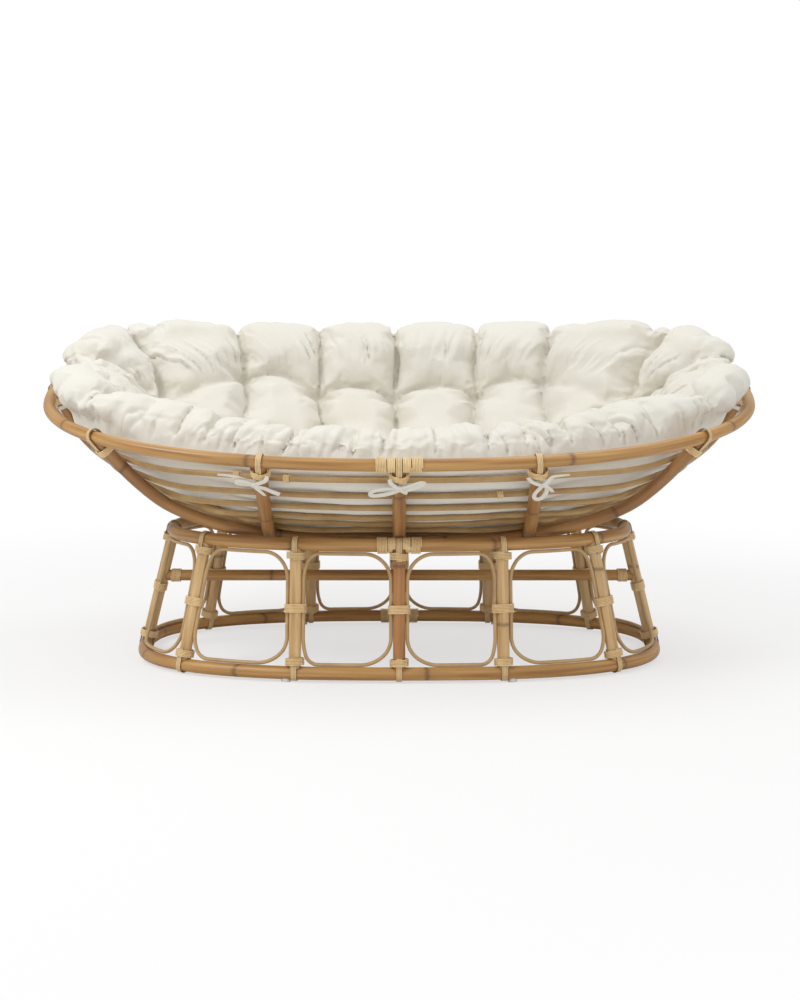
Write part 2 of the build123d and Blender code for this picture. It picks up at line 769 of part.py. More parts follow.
def make_cushion(long_bows, hoops_nodes):
    """A loft over sections that are thin at the tuft columns and full between them."""
    rest = hoop_diameter + hoop_seat + cushion_gap
    inset = cross_bow_diameter / 2 - long_bow_lift + rest
    inner_paths = [path_of(long_bows[side].nodes(0, inset)) for side in (0, 1)]
    rows = []
    for column in range(tuft_columns):
        rows.append((column * tuft_pitch, 1, 0, 1))
        rows.append(((column + 0.5) * tuft_pitch, 0, 0, 1))
    rows[-1] = (end_column_share * rim_half_length, 1, 0, 1)
    rows += [(share * rim_half_length, *row) for share, *row in end_row_shares]
    hoop_paths = [path_of(nodes[: len(nodes) // 4 + 1]) for nodes in hoops_nodes]
    sections = {}
    for x, thin, fill, crest in rows:
        radius = inner_radius(x, inner_paths)
        for path in hoop_paths:
            if x < (path @ 1).X - tiny_share:
                reach = inner_radius(x, [path]) - hoop_diameter / 2 - cushion_gap
                radius = min(radius, reach)
        cross_reach = bow_radius(x) - cross_bow_diameter / 2 - rest
        radius = min(radius, cross_reach) - cushion_end_slack * x / rim_half_length
        for side in (-1, 1):
            sections[side * x] = cushion_section(side * x, radius, thin, fill, crest)
    return loft([sections[x] for x in sorted(sections)], ruled=True)


def make_stand():
    bottom, top, cutters = make_rings()
    save("bottom_ring", bottom, stand_place)
    save("top_ring", top, stand_place)
    for index, name in enumerate(post_names):
        save(name, make_post(index, cutters), stand_place)
    for index, name in enumerate(loop_names):
        save(name, make_loop(index), stand_place)
    save("stretcher", make_stretcher(), stand_place)
    top_group, bottom_group, middle_group = make_stand_bindings()
    save("post_top_bindings", top_group, stand_place)
    save("post_bottom_bindings", bottom_group, stand_place)
    save("post_middle_bindings", middle_group, stand_place)
    save("stretcher_bindings", make_stretcher_bindings(), stand_place)
    along = Vector(1, 0, 0)
    ring_front = Vector(0, -top_ring_half_width, top_ring_z)
    ring_back = Vector(0, bottom_ring_half_width, bottom_ring_z)
    for name, centre in (("top_ring_splice", ring_front), ("bottom_ring_splice", ring_back)):
        save(name, splice_pair(centre, along, ring_diameter), stand_place)
    save("floor_glides", make_glides(cutters), stand_place)


def make_bowl():
    save("rim", tube(closed_oval(*rim_oval, rim_end_rise), rim_diameter), bowl_place)
    cross, long, long_bows = make_bows()
    for x, name in ((-side_bow_x, "left"), (0, "centre"), (side_bow_x, "right")):
        save(f"cross_bow_{name}", cross[x], bowl_place)
    for side, name in ((-1, "front"), (0, "middle"), (1, "back")):
        save(f"long_bow_{name}", long[side], bowl_place)
    bowl_depth = centre_bow_radius - axis_rise
    hoops_nodes = [hoop_nodes(-share * bowl_depth, long_bows) for share in hoop_depth_shares]
    for index, nodes in enumerate(hoops_nodes):
        save(f"hoop_{index + 1}", tube(nodes, hoop_diameter), bowl_place)
    joints = rim_joints(long_bows)
    group = []
    for joint in joints:
        below = unit(joint.place(binding_leg)[0] - joint.joint)
        group += binding(
            joint.joint, below, joint.rim_way, joint.diameter, rim_binding_turns, bow_slack
        )
    save("rim_bindings", group, bowl_place)
    rim_front = Vector(0, -rim_half_width, 0)
    wraps = splice_pair(rim_front, Vector(1, 0, 0), rim_diameter)
    save("rim_splice", wraps, bowl_place)
    save("hoop_splices", make_hoop_splices(hoops_nodes), bowl_place)
    ties = [make_tie(joint) for joint in joints]
    save("front_ties", ties[0:6:2], bowl_place)
    save("back_ties", ties[1:6:2], bowl_place)
    save("end_ties", ties[8:10], bowl_place)
    save("cushion", make_cushion(long_bows, hoops_nodes), bowl_place)


os.makedirs("parts", exist_ok=True)
make_stand()
make_bowl()
print(f"least gap in the {len(winding_gaps)} windings: {min(winding_gaps):.2f} mm")
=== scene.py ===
import json
import math

import bmesh
import bpy
import numpy as np
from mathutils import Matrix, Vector, noise
from mathutils.kdtree import KDTree

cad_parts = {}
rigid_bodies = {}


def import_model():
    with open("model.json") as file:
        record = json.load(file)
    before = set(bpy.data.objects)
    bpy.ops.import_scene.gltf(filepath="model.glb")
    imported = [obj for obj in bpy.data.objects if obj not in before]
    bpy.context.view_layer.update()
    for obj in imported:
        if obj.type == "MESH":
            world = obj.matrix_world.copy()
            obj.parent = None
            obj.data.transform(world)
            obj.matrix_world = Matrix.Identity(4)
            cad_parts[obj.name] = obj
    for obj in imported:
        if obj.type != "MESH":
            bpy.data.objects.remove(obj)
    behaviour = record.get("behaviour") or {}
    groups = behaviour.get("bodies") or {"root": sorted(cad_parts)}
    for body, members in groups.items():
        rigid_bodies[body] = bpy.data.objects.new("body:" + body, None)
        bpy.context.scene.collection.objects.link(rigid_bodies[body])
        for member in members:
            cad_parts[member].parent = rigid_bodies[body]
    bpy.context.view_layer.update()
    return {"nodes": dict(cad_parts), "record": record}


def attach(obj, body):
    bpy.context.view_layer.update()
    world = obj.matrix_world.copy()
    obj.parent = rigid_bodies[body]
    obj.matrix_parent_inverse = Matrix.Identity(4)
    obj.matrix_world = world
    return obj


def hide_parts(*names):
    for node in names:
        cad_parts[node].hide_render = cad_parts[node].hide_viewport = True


for leftover in list(bpy.data.objects):
    bpy.data.objects.remove(leftover)
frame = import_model()
nodes = frame["nodes"]
scene = bpy.context.scene

# The bowl, in metres: its tilting axis, its tilt at rest, and the axis above the rim's centre
bowl_tilt = frame["record"]["behaviour"]["joints"][0]
AXIS_Y, AXIS_Z = bowl_tilt["pos_m"][1:]
TILT = -math.radians(bowl_tilt["range_deg"][0])
AXIS_RISE = 0.17628
# The rim's oval: half its length and width, the power of its curve, and how far its ends rise
RIM_LENGTH, RIM_WIDTH, RIM_POWER, RIM_END_RISE = 0.787, 0.4775, 2.44, 0.016
RIM_RADIUS = 0.013
# The outer cross bows' place along X, and the hoops' heights against the rim
CROSS_BOW_X = 0.28
HOOP_LEVELS = (-0.048, -0.092, -0.129, -0.163, -0.187, -0.209, -0.240, -0.270)
# Straps of split cane: their width, the strands in one, and a place in the middle of a strand
STRAP_WIDTH, STRAP_STRANDS, MID_STRAND, STRAP_TOLERANCE = 0.012, 4, 0.0015, 0.0006


def to_world(points):
    """Points of the bowl's own frame, with the rim's centre at zero, in the seat's frame."""
    points = np.asarray(points, float)
    y = points[..., 1]
    drop = points[..., 2] - AXIS_RISE
    turned_y = y * math.cos(TILT) - drop * math.sin(TILT) + AXIS_Y
    turned_z = y * math.sin(TILT) + drop * math.cos(TILT) + AXIS_Z
    return np.stack([points[..., 0], turned_y, turned_z], -1)


def unit(vectors):
    return vectors / np.maximum(np.linalg.norm(vectors, axis=-1, keepdims=True), 1e-9)


def clouds(points, size, seed=0.0):
    """Smooth noise from -1 to 1 at points, for lumps of about that size."""
    flat = np.asarray(points, float).reshape(-1, points.shape[-1]) / size + seed
    if flat.shape[1] == 2:
        flat = np.column_stack([flat, np.full(len(flat), seed)])
    values = [noise.noise(Vector(p)) for p in flat]
    return np.array(values).reshape(points.shape[:-1])


def make_object(name, vertices, faces, material, body):
    mesh = bpy.data.meshes.new(name)
    mesh.from_pydata([tuple(v) for v in vertices], [], faces)
    mesh.update()
    mesh.polygons.foreach_set("use_smooth", [True] * len(mesh.polygons))
    piece = bpy.data.objects.new(name, mesh)
    scene.collection.objects.link(piece)
    mesh.materials.append(material)
    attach(piece, body)
    return piece


# Materials
WHITE = (1, 1, 1, 1)
JOINTS_PER_METRE = 3.1


class NodeTree:
    """Short calls that add and link the nodes of one tree."""

    def __init__(self, tree):
        self.tree = tree

    def add(self, kind, values=None, **settings):
        node = self.tree.nodes.new("ShaderNode" + kind)
        for key, value in settings.items():
            setattr(node, key, value)
        for key, value in (values or {}).items():
            if isinstance(value, bpy.types.NodeSocket):
                self.tree.links.new(value, node.inputs[key])
            else:
                node.inputs[key].default_value = value
        return node

    def math(self, operation, a, b=0.0):
        return self.add("Math", {0: a, 1: b}, operation=operation).outputs[0]

    def noise(self, vector, scale, detail=3.0, roughness=0.55):
        values = {"Vector": vector, "Scale": scale, "Detail": detail, "Roughness": roughness}
        return self.add("TexNoise", values).outputs["Fac"]

    def ramp(self, factor, *stops):
        """Colours along a ramp: each stop is a place and a colour or a grey."""
        node = self.add("ValToRGB", {"Fac": factor})
        while len(node.color_ramp.elements) < len(stops):
            node.color_ramp.elements.new(0.5)
        for element, (place, colour) in zip(node.color_ramp.elements, stops):
            element.position = place
            element.color = (colour,) * 3 + (1,) if isinstance(colour, float) else (*colour, 1)
        return node.outputs["Color"]

    def mix(self, factor, a, b, blend="MIX"):
        a, b = (c if isinstance(c, bpy.types.NodeSocket) else (*c, 1) for c in (a, b))
        values = {0: factor, 6: a, 7: b}
        return self.add("Mix", values, data_type="RGBA", blend_type=blend).outputs[2]

    def stretch(self, vector, scale):
        return self.add("Mapping", {"Vector": vector, "Scale": scale}).outputs["Vector"]


class Shader(NodeTree):
    """A node material around its Principled shader."""

    def __init__(self, name, roughness, **inputs):
        self.material = bpy.data.materials.new(name)
        self.material.use_nodes = True
        super().__init__(self.material.node_tree)
        self.shader = self.tree.nodes["Principled BSDF"]
        self.shader.inputs["Roughness"].default_value = roughness
        for key, value in inputs.items():
            self.shader.inputs[key.replace("_", " ")].default_value = value

    def pole_place(self):
        """The place on a pole: metres along it, around it, and a number of the node's own."""
        return self.add("Attribute", attribute_name="pole").outputs["Vector"]

    def object_place(self):
        return self.add("TexCoord").outputs["Object"]

    def finish(self, colour, bump=None, strength=0.3, distance=0.0005, roughness=None):
        self.tree.links.new(colour, self.shader.inputs["Base Color"])
        if roughness is not None:
            self.tree.links.new(roughness, self.shader.inputs["Roughness"])
        if bump is not None:
            values = {"Height": bump, "Strength": strength, "Distance": distance}
            normal = self.add("Bump", values).outputs["Normal"]
            self.tree.links.new(normal, self.shader.inputs["Normal"])
        return self.material


def pole_material(name, light, middle, dark, ring_colour, gloss):
    """Varnished rattan: long streaks, cloudy patches, and a dark thin ring at each joint."""
    s = Shader(name, 0.3, Coat_Weight=gloss, Coat_Roughness=0.28)
    place = s.pole_place()
    streaks = s.noise(s.stretch(place, (3.5, 2.2, 9.0)), 1.0, 4.0, 0.6)
    fine = s.noise(s.stretch(place, (9.0, 12.0, 9.0)), 1.0, 3.0, 0.65)
    patches = s.noise(s.stretch(place, (5.0, 0.8, 7.0)), 1.0, 2.0, 0.5)
    colour = s.ramp(patches, (0.3, light), (0.52, middle), (0.72, dark))
    streak_grey = s.ramp(streaks, (0.32, 0.72), (0.62, 1.0))
    colour = s.mix(0.75, colour, streak_grey, "MULTIPLY")
    fine_grey = s.ramp(fine, (0.35, 0.80), (0.6, 1.0))
    colour = s.mix(0.55, colour, fine_grey, "MULTIPLY")
    parts = s.add("SeparateXYZ", {"Vector": place})
    shifted = s.math("ADD", parts.outputs["X"], s.math("MULTIPLY", parts.outputs["Z"], 7.0))
    wander = s.math("MULTIPLY", s.noise(s.stretch(place, (30.0, 1.5, 5.0)), 1.0), 0.006)
    values = {"W": s.math("ADD", shifted, wander), "Scale": JOINTS_PER_METRE, "Randomness": 0.75}
    joints = s.add(
        "TexVoronoi", values, voronoi_dimensions="1D", feature="DISTANCE_TO_EDGE").outputs["Distance"]
    near = s.ramp(joints, (0.0, 1.0), (0.009, 0.55), (0.018, 0.0))
    scar = s.ramp(joints, (0.0, 1.0), (0.06, 0.35), (0.14, 0.0))
    colour = s.mix(s.math("MULTIPLY", scar, 0.22), colour, ring_colour)
    colour = s.mix(s.math("MULTIPLY", near, 0.62), colour, tuple(c * 0.4 for c in ring_colour))
    height = s.math("ADD", s.math("MULTIPLY", near, -0.8), s.math("MULTIPLY", fine, 0.25))
    height = s.math("ADD", height, s.math("MULTIPLY", scar, 0.7))
    shine = s.ramp(streaks, (0.3, 0.34), (0.75, 0.5))
    return s.finish(colour, height, 0.35, 0.0008, shine)


def core_material(name, light, dark):
    """Cane core: pale, with fine lengthwise fibres."""
    s = Shader(name, 0.45, Coat_Weight=0.15, Coat_Roughness=0.3)
    place = s.pole_place()
    patches = s.noise(s.object_place(), 22.0, 3.0)
    fibres = s.noise(s.stretch(place, (14.0, 3.0, 11.0)), 1.0, 4.0, 0.7)
    colour = s.ramp(patches, (0.3, light), (0.75, dark))
    grey = s.ramp(fibres, (0.3, 0.70), (0.62, 1.0))
    colour = s.mix(0.7, colour, grey, "MULTIPLY")
    return s.finish(colour, fibres, 0.4, 0.0005)


def binding_material():
    """Flat strands of split cane side by side. The groove runs at each strand's edge, and painted
    shade darkens it.
    """
    s = Shader("split_cane", 0.42, Coat_Weight=0.25, Coat_Roughness=0.3)
    place = s.pole_place()
    parts = s.add("SeparateXYZ", {"Vector": place})
    across = s.math("MULTIPLY", parts.outputs["X"], STRAP_STRANDS / STRAP_WIDTH)
    groove = s.math("PINGPONG", across, 0.5)
    # 1 in the groove between strands: it shapes the groove's bump and its painted shade
    edge = s.ramp(groove, (0.0, 1.0), (0.12, 0.7), (0.24, 0.0))
    patches = s.noise(s.object_place(), 60.0, 3.0)
    fibres = s.noise(s.object_place(), 420.0, 3.0, 0.7)
    colour = s.ramp(patches, (0.3, (0.94, 0.71, 0.38)), (0.7, (0.80, 0.56, 0.27)))
    colour = s.mix(0.45, colour, s.ramp(fibres, (0.3, 0.75), (0.6, 1.0)), "MULTIPLY")
    # Painted shade: the colour darkens to a dark brown in each groove between strands
    colour = s.mix(s.math("MULTIPLY", edge, 0.9), colour, (0.26, 0.14, 0.045))
    height = s.math("SUBTRACT", s.math("MULTIPLY", fibres, 0.2), s.math("MULTIPLY", edge, 1.0))
    return s.finish(colour, height, 0.7, 0.0008)


def cotton_material(name, colour, thread, crumple):
    """Plain woven cotton: crossed threads, slubs, and a slight crumple."""
    s = Shader(name, 0.92, Sheen_Weight=0.25, Sheen_Roughness=0.5)
    place = s.object_place()
    slubs = s.noise(s.stretch(place, (1.0, 1.0, 1.6)), 240.0, 3.0, 0.6)
    threads = s.noise(place, thread, 2.0, 0.5)
    folds = s.noise(place, 34.0, 4.0, 0.55)
    wide = s.noise(place, 4.0, 2.0)
    grey = s.ramp(slubs, (0.3, 0.95), (0.7, 1.0))
    warmer = tuple(c * share for c, share in zip(colour, (0.985, 0.975, 0.95)))
    tint = s.ramp(wide, (0.3, colour), (0.7, warmer))
    tinted = s.mix(0.8, tint, grey, "MULTIPLY")
    height = s.math("ADD", s.math("MULTIPLY", threads, 0.12), s.math("MULTIPLY", slubs, 0.1))
    height = s.math("ADD", height, s.math("MULTIPLY", folds, crumple))
    return s.finish(tinted, height, 0.45, 0.002)


def glide_material():
    s = Shader("glide_plastic", 0.5)
    speck = s.noise(s.object_place(), 300.0)
    colour = s.ramp(speck, (0.3, (0.75, 0.73, 0.68)), (0.7, (0.82, 0.80, 0.76)))
    return s.finish(colour, speck, 0.1)


honey = pole_material(
    "honey_rattan", (0.64, 0.37, 0.125), (0.53, 0.275, 0.08), (0.37, 0.165, 0.042),
    (0.22, 0.10, 0.03), 0.22)
russet = pole_material(
    "russet_rattan", (0.50, 0.26, 0.08), (0.40, 0.185, 0.05), (0.27, 0.11, 0.026),
    (0.16, 0.065, 0.02), 0.3)
amber = pole_material(
    "amber_rattan", (0.62, 0.31, 0.10), (0.52, 0.225, 0.065), (0.37, 0.14, 0.035),
    (0.20, 0.08, 0.025), 0.35)
pale_pole = pole_material(
    "pale_rattan", (0.86, 0.62, 0.31), (0.78, 0.51, 0.23), (0.56, 0.33, 0.13),
    (0.30, 0.16, 0.06), 0.35)
cane = core_material("cane_core", (0.62, 0.43, 0.21), (0.50, 0.31, 0.13))
hoop_cane = core_material("hoop_core", (0.54, 0.35, 0.14), (0.40, 0.23, 0.08))
split_cane = binding_material()
cotton = cotton_material("cushion_weave", (0.80, 0.775, 0.70), 900.0, 0.5)
tape_cotton = cotton_material("tape_weave", (0.79, 0.76, 0.68), 1400.0, 0.25)
glide = glide_material()


# Places along and around each pole, for the grain. The radii turn an angle into a length.
LOOP_RADIUS, CROSS_BOW_RADIUS, LONG_BOW_RADIUS, OVAL_SHARE = 0.11, 0.5, 0.8, 0.38
LONG_BOW_CENTRE_Z = 1.15
HALF_TURN_PLACE, LOOP_SKEW, NUMBER_STEP, WELDS_PER_METRE = 1.6, 0.6, 1.37, 20000


def mesh_arrays(mesh):
    count = len(mesh.vertices)
    points = np.zeros(count * 3)
    normals = np.zeros(count * 3)
    mesh.vertices.foreach_get("co", points)
    mesh.vertices.foreach_get("normal", normals)
    return points.reshape(-1, 3), normals.reshape(-1, 3)


def store_places(mesh, along, around, number):
    values = np.column_stack([along, around, np.full(len(along), number)])
    attribute = mesh.attributes.new("pole", "FLOAT_VECTOR", "POINT")
    attribute.data.foreach_set("vector", values.astype(np.float32).ravel())


def mark_grain(name, number):
    """Store the grain places of one CAD pole, by the family that it belongs to."""
    mesh = nodes[name].data
    points, normals = mesh_arrays(mesh)
    low, high = points.min(0), points.max(0)
    centre = (low + high) / 2
    span = high - low
    offset = points - centre
    if name.startswith("loop_"):
        flat = offset[:, 0] / span[0] if span[0] > span[1] else offset[:, 1] / span[1]
        along = np.arctan2(offset[:, 2] / span[2], flat) * LOOP_RADIUS
        around = normals[:, 1] + normals[:, 0] * LOOP_SKEW
    elif name.startswith("post_"):
        along = points[:, 2]
        around = np.arctan2(normals[:, 1], normals[:, 0])
    elif name.startswith("cross_bow"):
        along = np.arctan2(points[:, 1] - AXIS_Y, AXIS_Z - points[:, 2]) * CROSS_BOW_RADIUS
        around = normals[:, 0] * HALF_TURN_PLACE
    elif name.startswith("long_bow"):
        along = np.arctan2(points[:, 0], LONG_BOW_CENTRE_Z - points[:, 2]) * LONG_BOW_RADIUS
        around = normals[:, 1] * HALF_TURN_PLACE
    elif name == "stretcher":
        along = points[:, 0]
        around = np.arctan2(normals[:, 2], normals[:, 1])
    else:
        turn = np.arctan2(offset[:, 1] / span[1], offset[:, 0] / span[0])
        along = turn * span[0] * OVAL_SHARE
        around = normals[:, 2] * HALF_TURN_PLACE
    store_places(mesh, along, around, number)


def welded_islands(points, edges):
    """A label for each vertex: one number for each separate solid."""
    keys = np.round(points * WELDS_PER_METRE).astype(np.int64)
    _, weld = np.unique(keys, axis=0, return_inverse=True)
    weld = weld.ravel()
    labels = np.arange(weld.max() + 1)
    a, b = weld[edges[:, 0]], weld[edges[:, 1]]
    while True:
        before = labels.copy()
        least = np.minimum(labels[a], labels[b])
        np.minimum.at(labels, a, least)
        np.minimum.at(labels, b, least)
        labels = labels[labels]
        if (labels == before).all():
            return labels[weld]


def mark_straps(name):
    """Store, on each strap, the place across its width, for the strands that it shows."""
    mesh = nodes[name].data
    points, _ = mesh_arrays(mesh)
    edges = np.zeros(len(mesh.edges) * 2, int)
    mesh.edges.foreach_get("vertices", edges)
    labels = welded_islands(points, edges.reshape(-1, 2))
    across = np.zeros(len(points))
    numbers = np.zeros(len(points))
    for k, label in enumerate(np.unique(labels)):
        inside = labels == label
        own = points[inside] - points[inside].mean(0)
        way = np.linalg.eigh(own.T @ own)[1][:, 0]
        reach = own @ way
        width = reach.max() - reach.min()
        is_strap = abs(width - STRAP_WIDTH) < STRAP_TOLERANCE and "splice" not in name
        across[inside] = reach - reach.min() if is_strap else MID_STRAND
        numbers[inside] = k
    store_places(mesh, across, numbers, 0.0)


# The first that a pole's name starts with gives its material
POLE_MATERIALS = (
    ("loop_", cane), ("hoop_", hoop_cane), ("cross_bow", russet), ("long_bow", russet),
    ("post_front_centre", amber), ("post_", pale_pole), ("", honey),
)
for number, name in enumerate(sorted(nodes)):
    mesh = nodes[name].data
    if name == "cushion" or name.endswith("ties"):
        material = cotton
    elif "binding" in name or "splice" in name:
        mark_straps(name)
        material = split_cane
    elif name == "floor_glides":
        material = glide
    else:
        mark_grain(name, number * NUMBER_STEP)
        material = next(own for start, own in POLE_MATERIALS if name.startswith(start))
    mesh.materials.clear()
    mesh.materials.append(material)
    mesh.polygons.foreach_set("material_index", [0] * len(mesh.polygons))


# The cushion, in metres. The radius about the tilting axis at which it rests on the hoops, along X
REST_X = (0, 0.1, 0.2, 0.3, 0.4, 0.5, 0.56, 0.6, 0.65, 0.68, 0.7, 0.72, 0.742, 0.75, 0.757, 0.763)
REST_R = (0.4805, 0.4782, 0.4695, 0.4575, 0.4225, 0.3885, 0.363, 0.3425, 0.303, 0.2765,
          0.256, 0.230, 0.188, 0.170, 0.150, 0.120)
RADIUS_SAMPLES, RADIUS_BLUR, REST_PLAY = 600, 30, 0.001
# How high the border's seam lies above the rim along X, in front and behind
RISE_X = (0, 0.3, 0.5, 0.65, 0.76)
FRONT_RISE = (0.014, 0.018, 0.030, 0.048, 0.070)
BACK_RISE = (0.040, 0.044, 0.054, 0.070, 0.080)
RISE_BLEND = 0.2
# The sheet: half its length and width, its meridians, and its stations from middle to border
SHEET_REACH = np.array((0.76, 0.46))
MERIDIANS, STATIONS, DENSE_STATIONS = 540, 100, 500
FIRST_STATION, STATION_POWER = 0.012, 0.92
# The filling's height, how far in its edge is round, and the girth for a turn of one radian
LOFT, EDGE_ROUND, GIRTH = 0.115, 0.07, 0.45
MOST_LOFT, MOST_SLOPE, SLOPE_STEP = 0.14, 1.5, 0.01
# Sewn tufts: X in metres and degrees about the tilting axis, the front ones first
TUFTS = (
    (-0.40, -50), (-0.216, -54), (-0.03, -48), (0.18, -50), (0.354, -54),
    (-0.40, -16), (-0.205, -16), (-0.01, -16), (0.195, -16), (0.39, -16),
    (-0.41, 17), (-0.20, 16), (-0.005, 16), (0.20, 17), (0.385, 18),
    (-0.41, 50), (-0.205, 47), (-0.01, 46), (0.195, 47), (0.39, 50),
    (-0.61, 26), (0.59, 24), (-0.60, -24), (0.60, -24),
)
COLUMNS = 5
TUFT_SINK, TUFT_WIDTH = 0.84, 0.085
# Folds: their widths, the share of the filling's height that they take, and how they wander
FOLD_WIDTH, END_FOLD_WIDTH, BORDER_FOLD_WIDTH = 0.06, 0.07, 0.075
COLUMN_SINKS, BORDER_SINK, ROW_SINK = (0.40, 0.30, 0.45), 0.46, 0.34
ROW_SAGS = (0.0, 0.012, 0.03, 0.035)
BORDER_DEGREES, BORDER_SPREAD = 95, 1.04
WANDER, WANDER_SIZE = 0.012, 0.11
# Folds from the end tufts to the border: X, degrees and sink, behind and in front
BACK_END_FOLDS = ((0.68, 78, 0.60), (0.80, 34, 0.55), (0.80, 0, 0.40))
FRONT_END_FOLDS = ((0.69, -78, 0.60), (0.80, -38, 0.55))
# Pleats of the border: places along X in front, and turns round each end in degrees
FRONT_PLEATS = (-0.56, -0.474, -0.354, -0.094, 0.08, 0.27, 0.47, 0.55)
END_PLEATS = {-1: (62, 22, -14, -46), 1: (58, 26, -8, -50)}
END_X, METRES_PER_DEGREE, FAR_AWAY = 0.45, 0.0055, 9
PLEAT_WIDTH, COLUMN_PLEAT_WIDTH = 0.055, 0.07
FRONT_PLEAT_SHARE, COLUMN_PLEAT_SHARE = 0.8, 0.7
PLEAT_TOP, CREASE_TOP, PLEAT_TOP_SHARE, PLEAT_FOOT_SHARE = -58, -66, 0.99, 1.02
# Small folds that run out from each tuft, and the bulges between the hoops
RAY_HEIGHT, RAY_REACH, FEWEST_RAYS = 0.004, 0.035, 7
HOOP_BULGE, BULGE_SIZE = 0.006, 0.09
# Gathers of the border: their size, height and reach, and the patches in which they are stronger
GATHER_SIZE, FINE_GATHER_SIZE, PATCH_SIZE = 0.045, 0.024, 0.19
GATHER_HEIGHT, GATHER_REACH, GATHER_STRETCH = 0.034, 0.08, 0.3
# Relief of the cover: pleats, slack cloth, an uneven filling, and cloth that leans over the rim
PLEAT_DEPTH, PLEAT_REACH = 0.020, 0.06
SLACK, SLACK_SIZE, FINE_SLACK, FINE_SLACK_SIZE = 0.006, 0.07, 0.0025, 0.032
LOFT_SHARE, LOFT_SIZE = 0.12, 0.16
LEAN, END_LEAN, BACK_LEAN, FRONT_LEAN_LOSS = 0.012, 0.024, 0.012, 0.6
END_PART, BACK_PART, FRONT_PART, OVER_RIM = (0.45, 0.72), (0, 0.3), (0.25, 0.42), (0.016, 0.055)
PLEAT_PULL, PLEAT_DROP = 0.016, 0.018
# The swelling: the size of a voxel, the most that a place may move, the last frame, and the
# cloth. Places are held up to a height above the rim, and near the tufts and the folds.
VOXEL, SWELL, LAST_FRAME = 0.0075, 0.024, 20
CLOTH = {
    "quality": 4, "mass": 0.25, "tension_stiffness": 12, "compression_stiffness": 12,
    "shear_stiffness": 4, "bending_stiffness": 0.25, "shrink_min": -0.10, "use_pressure": True,
    "uniform_pressure_force": 4, "vertex_group_mass": "held",
}
UNDERSIDE, HELD_HEIGHT = 0.030, (0.004, 0.016)
HELD_TUFT, HELD_FOLD, FOLD_HOLD = (0.010, 0.020), (0.004, 0.018), 0.5
# Sharp folds and small gathers, put on after the swelling
CREASE_DEPTH, CREASE_WIDTH, PLEAT_CREASE_WIDTH, PLEAT_CREASE_SHARE = 0.026, 0.012, 0.010, 0.45
BAND_RADIUS, BAND_STRETCH = 0.66, 0.22
FINE_HEIGHT, FINE_SIZES, DRAWN_DEPTH, DRAWN_SIZES = 0.006, (0.016, 0.009), 0.014, (0.042, 0.10)
CREASED_LOFT, CREASED_HEIGHT, CREASE_FADE = (0.020, 0.034), (0.0, 0.02), (-0.01, 0.035)
BAND_FOOT, BAND_TOP = (-0.01, 0.012), (0.03, 0.075)
SKIN_GAP, RIM_SAMPLES = 0.0012, 1440


def smooth_step(values, low, high):
    share = np.clip((values - low) / (high - low), 0, 1)
    return share * share * (3 - 2 * share)


def rest_radius(x):
    table_x = np.linspace(0, REST_X[-1], RADIUS_SAMPLES)
    table = np.interp(table_x, REST_X, REST_R)
    kernel = np.hanning(2 * RADIUS_BLUR + 1)
    padded = np.pad(table, RADIUS_BLUR, "edge")
    smooth = np.convolve(padded, kernel / kernel.sum(), "valid")
    smooth = np.minimum(smooth, table + REST_PLAY)
    return np.interp(np.abs(x), table_x, smooth)


def axis_radius(points):
    """The distance of points in the bowl's frame from its tilting axis."""
    return np.hypot(points[..., 1], AXIS_RISE - points[..., 2])


def bowl_height(x, y):
    """The height of the sheet on the hoops, or one metre where it has none."""
    radius = rest_radius(x)
    inside = np.maximum(radius ** 2 - y ** 2, 0)
    height = AXIS_RISE - np.sqrt(inside)
    return np.where((np.abs(x) < REST_X[-1]) & (radius > np.abs(y)), height, 1.0)


def rim_height(x):
    return RIM_END_RISE * (x / RIM_LENGTH) ** 2


def above_rim(points):
    return points[..., 2] - rim_height(points[..., 0])


def above_hoops(points):
    return rest_radius(points[..., 0]) - axis_radius(points)


def drum_places(turn, radius, height):
    """Places on a drum, so that noise along the border has no seam."""
    return np.stack(np.broadcast_arrays(np.cos(turn) * radius, np.sin(turn) * radius, height), -1)


def border_height(x, y):
    front = np.interp(np.abs(x), RISE_X, FRONT_RISE)
    back = np.interp(np.abs(x), RISE_X, BACK_RISE)
    return rim_height(x) + front + (back - front) * smooth_step(y, -RISE_BLEND, RISE_BLEND)


def rest_grid():
    """The sheet that lies on the hoops: stations from the middle to the border, by meridian."""
    angles = np.linspace(0, 2 * math.pi, MERIDIANS, endpoint=False)
    ways = unit(np.column_stack([np.cos(angles), np.sin(angles)]) * SHEET_REACH)
    # The border's reach, by halving the gap between a place inside it and one outside
    low, high = np.zeros(MERIDIANS), np.full(MERIDIANS, 0.9)
    for _ in range(40):
        middle = (low + high) / 2
        x, y = ways[:, 0] * middle, ways[:, 1] * middle
        inside = bowl_height(x, y) < border_height(x, y)
        low = np.where(inside, middle, low)
        high = np.where(inside, high, middle)
    shares = np.sin(np.linspace(0, math.pi / 2, DENSE_STATIONS))
    reach = shares[:, None] * low[None, :]
    x, y = reach * ways[:, 0], reach * ways[:, 1]
    dense = np.stack([x, y, bowl_height(x, y)], -1)
    steps = np.linalg.norm(np.diff(dense, axis=0), axis=-1)
    lengths = np.concatenate([np.zeros((1, MERIDIANS)), np.cumsum(steps, 0)])
    wanted = np.linspace(FIRST_STATION, 1, STATIONS) ** STATION_POWER
    grid = np.zeros((STATIONS, MERIDIANS, 3))
    for k in range(MERIDIANS):
        for axis in range(3):
            grid[:, k, axis] = np.interp(
                wanted * lengths[-1, k], lengths[:, k], dense[:, k, axis])
    from_border = lengths[-1] * (1 - wanted[:, None])
    return grid, from_border


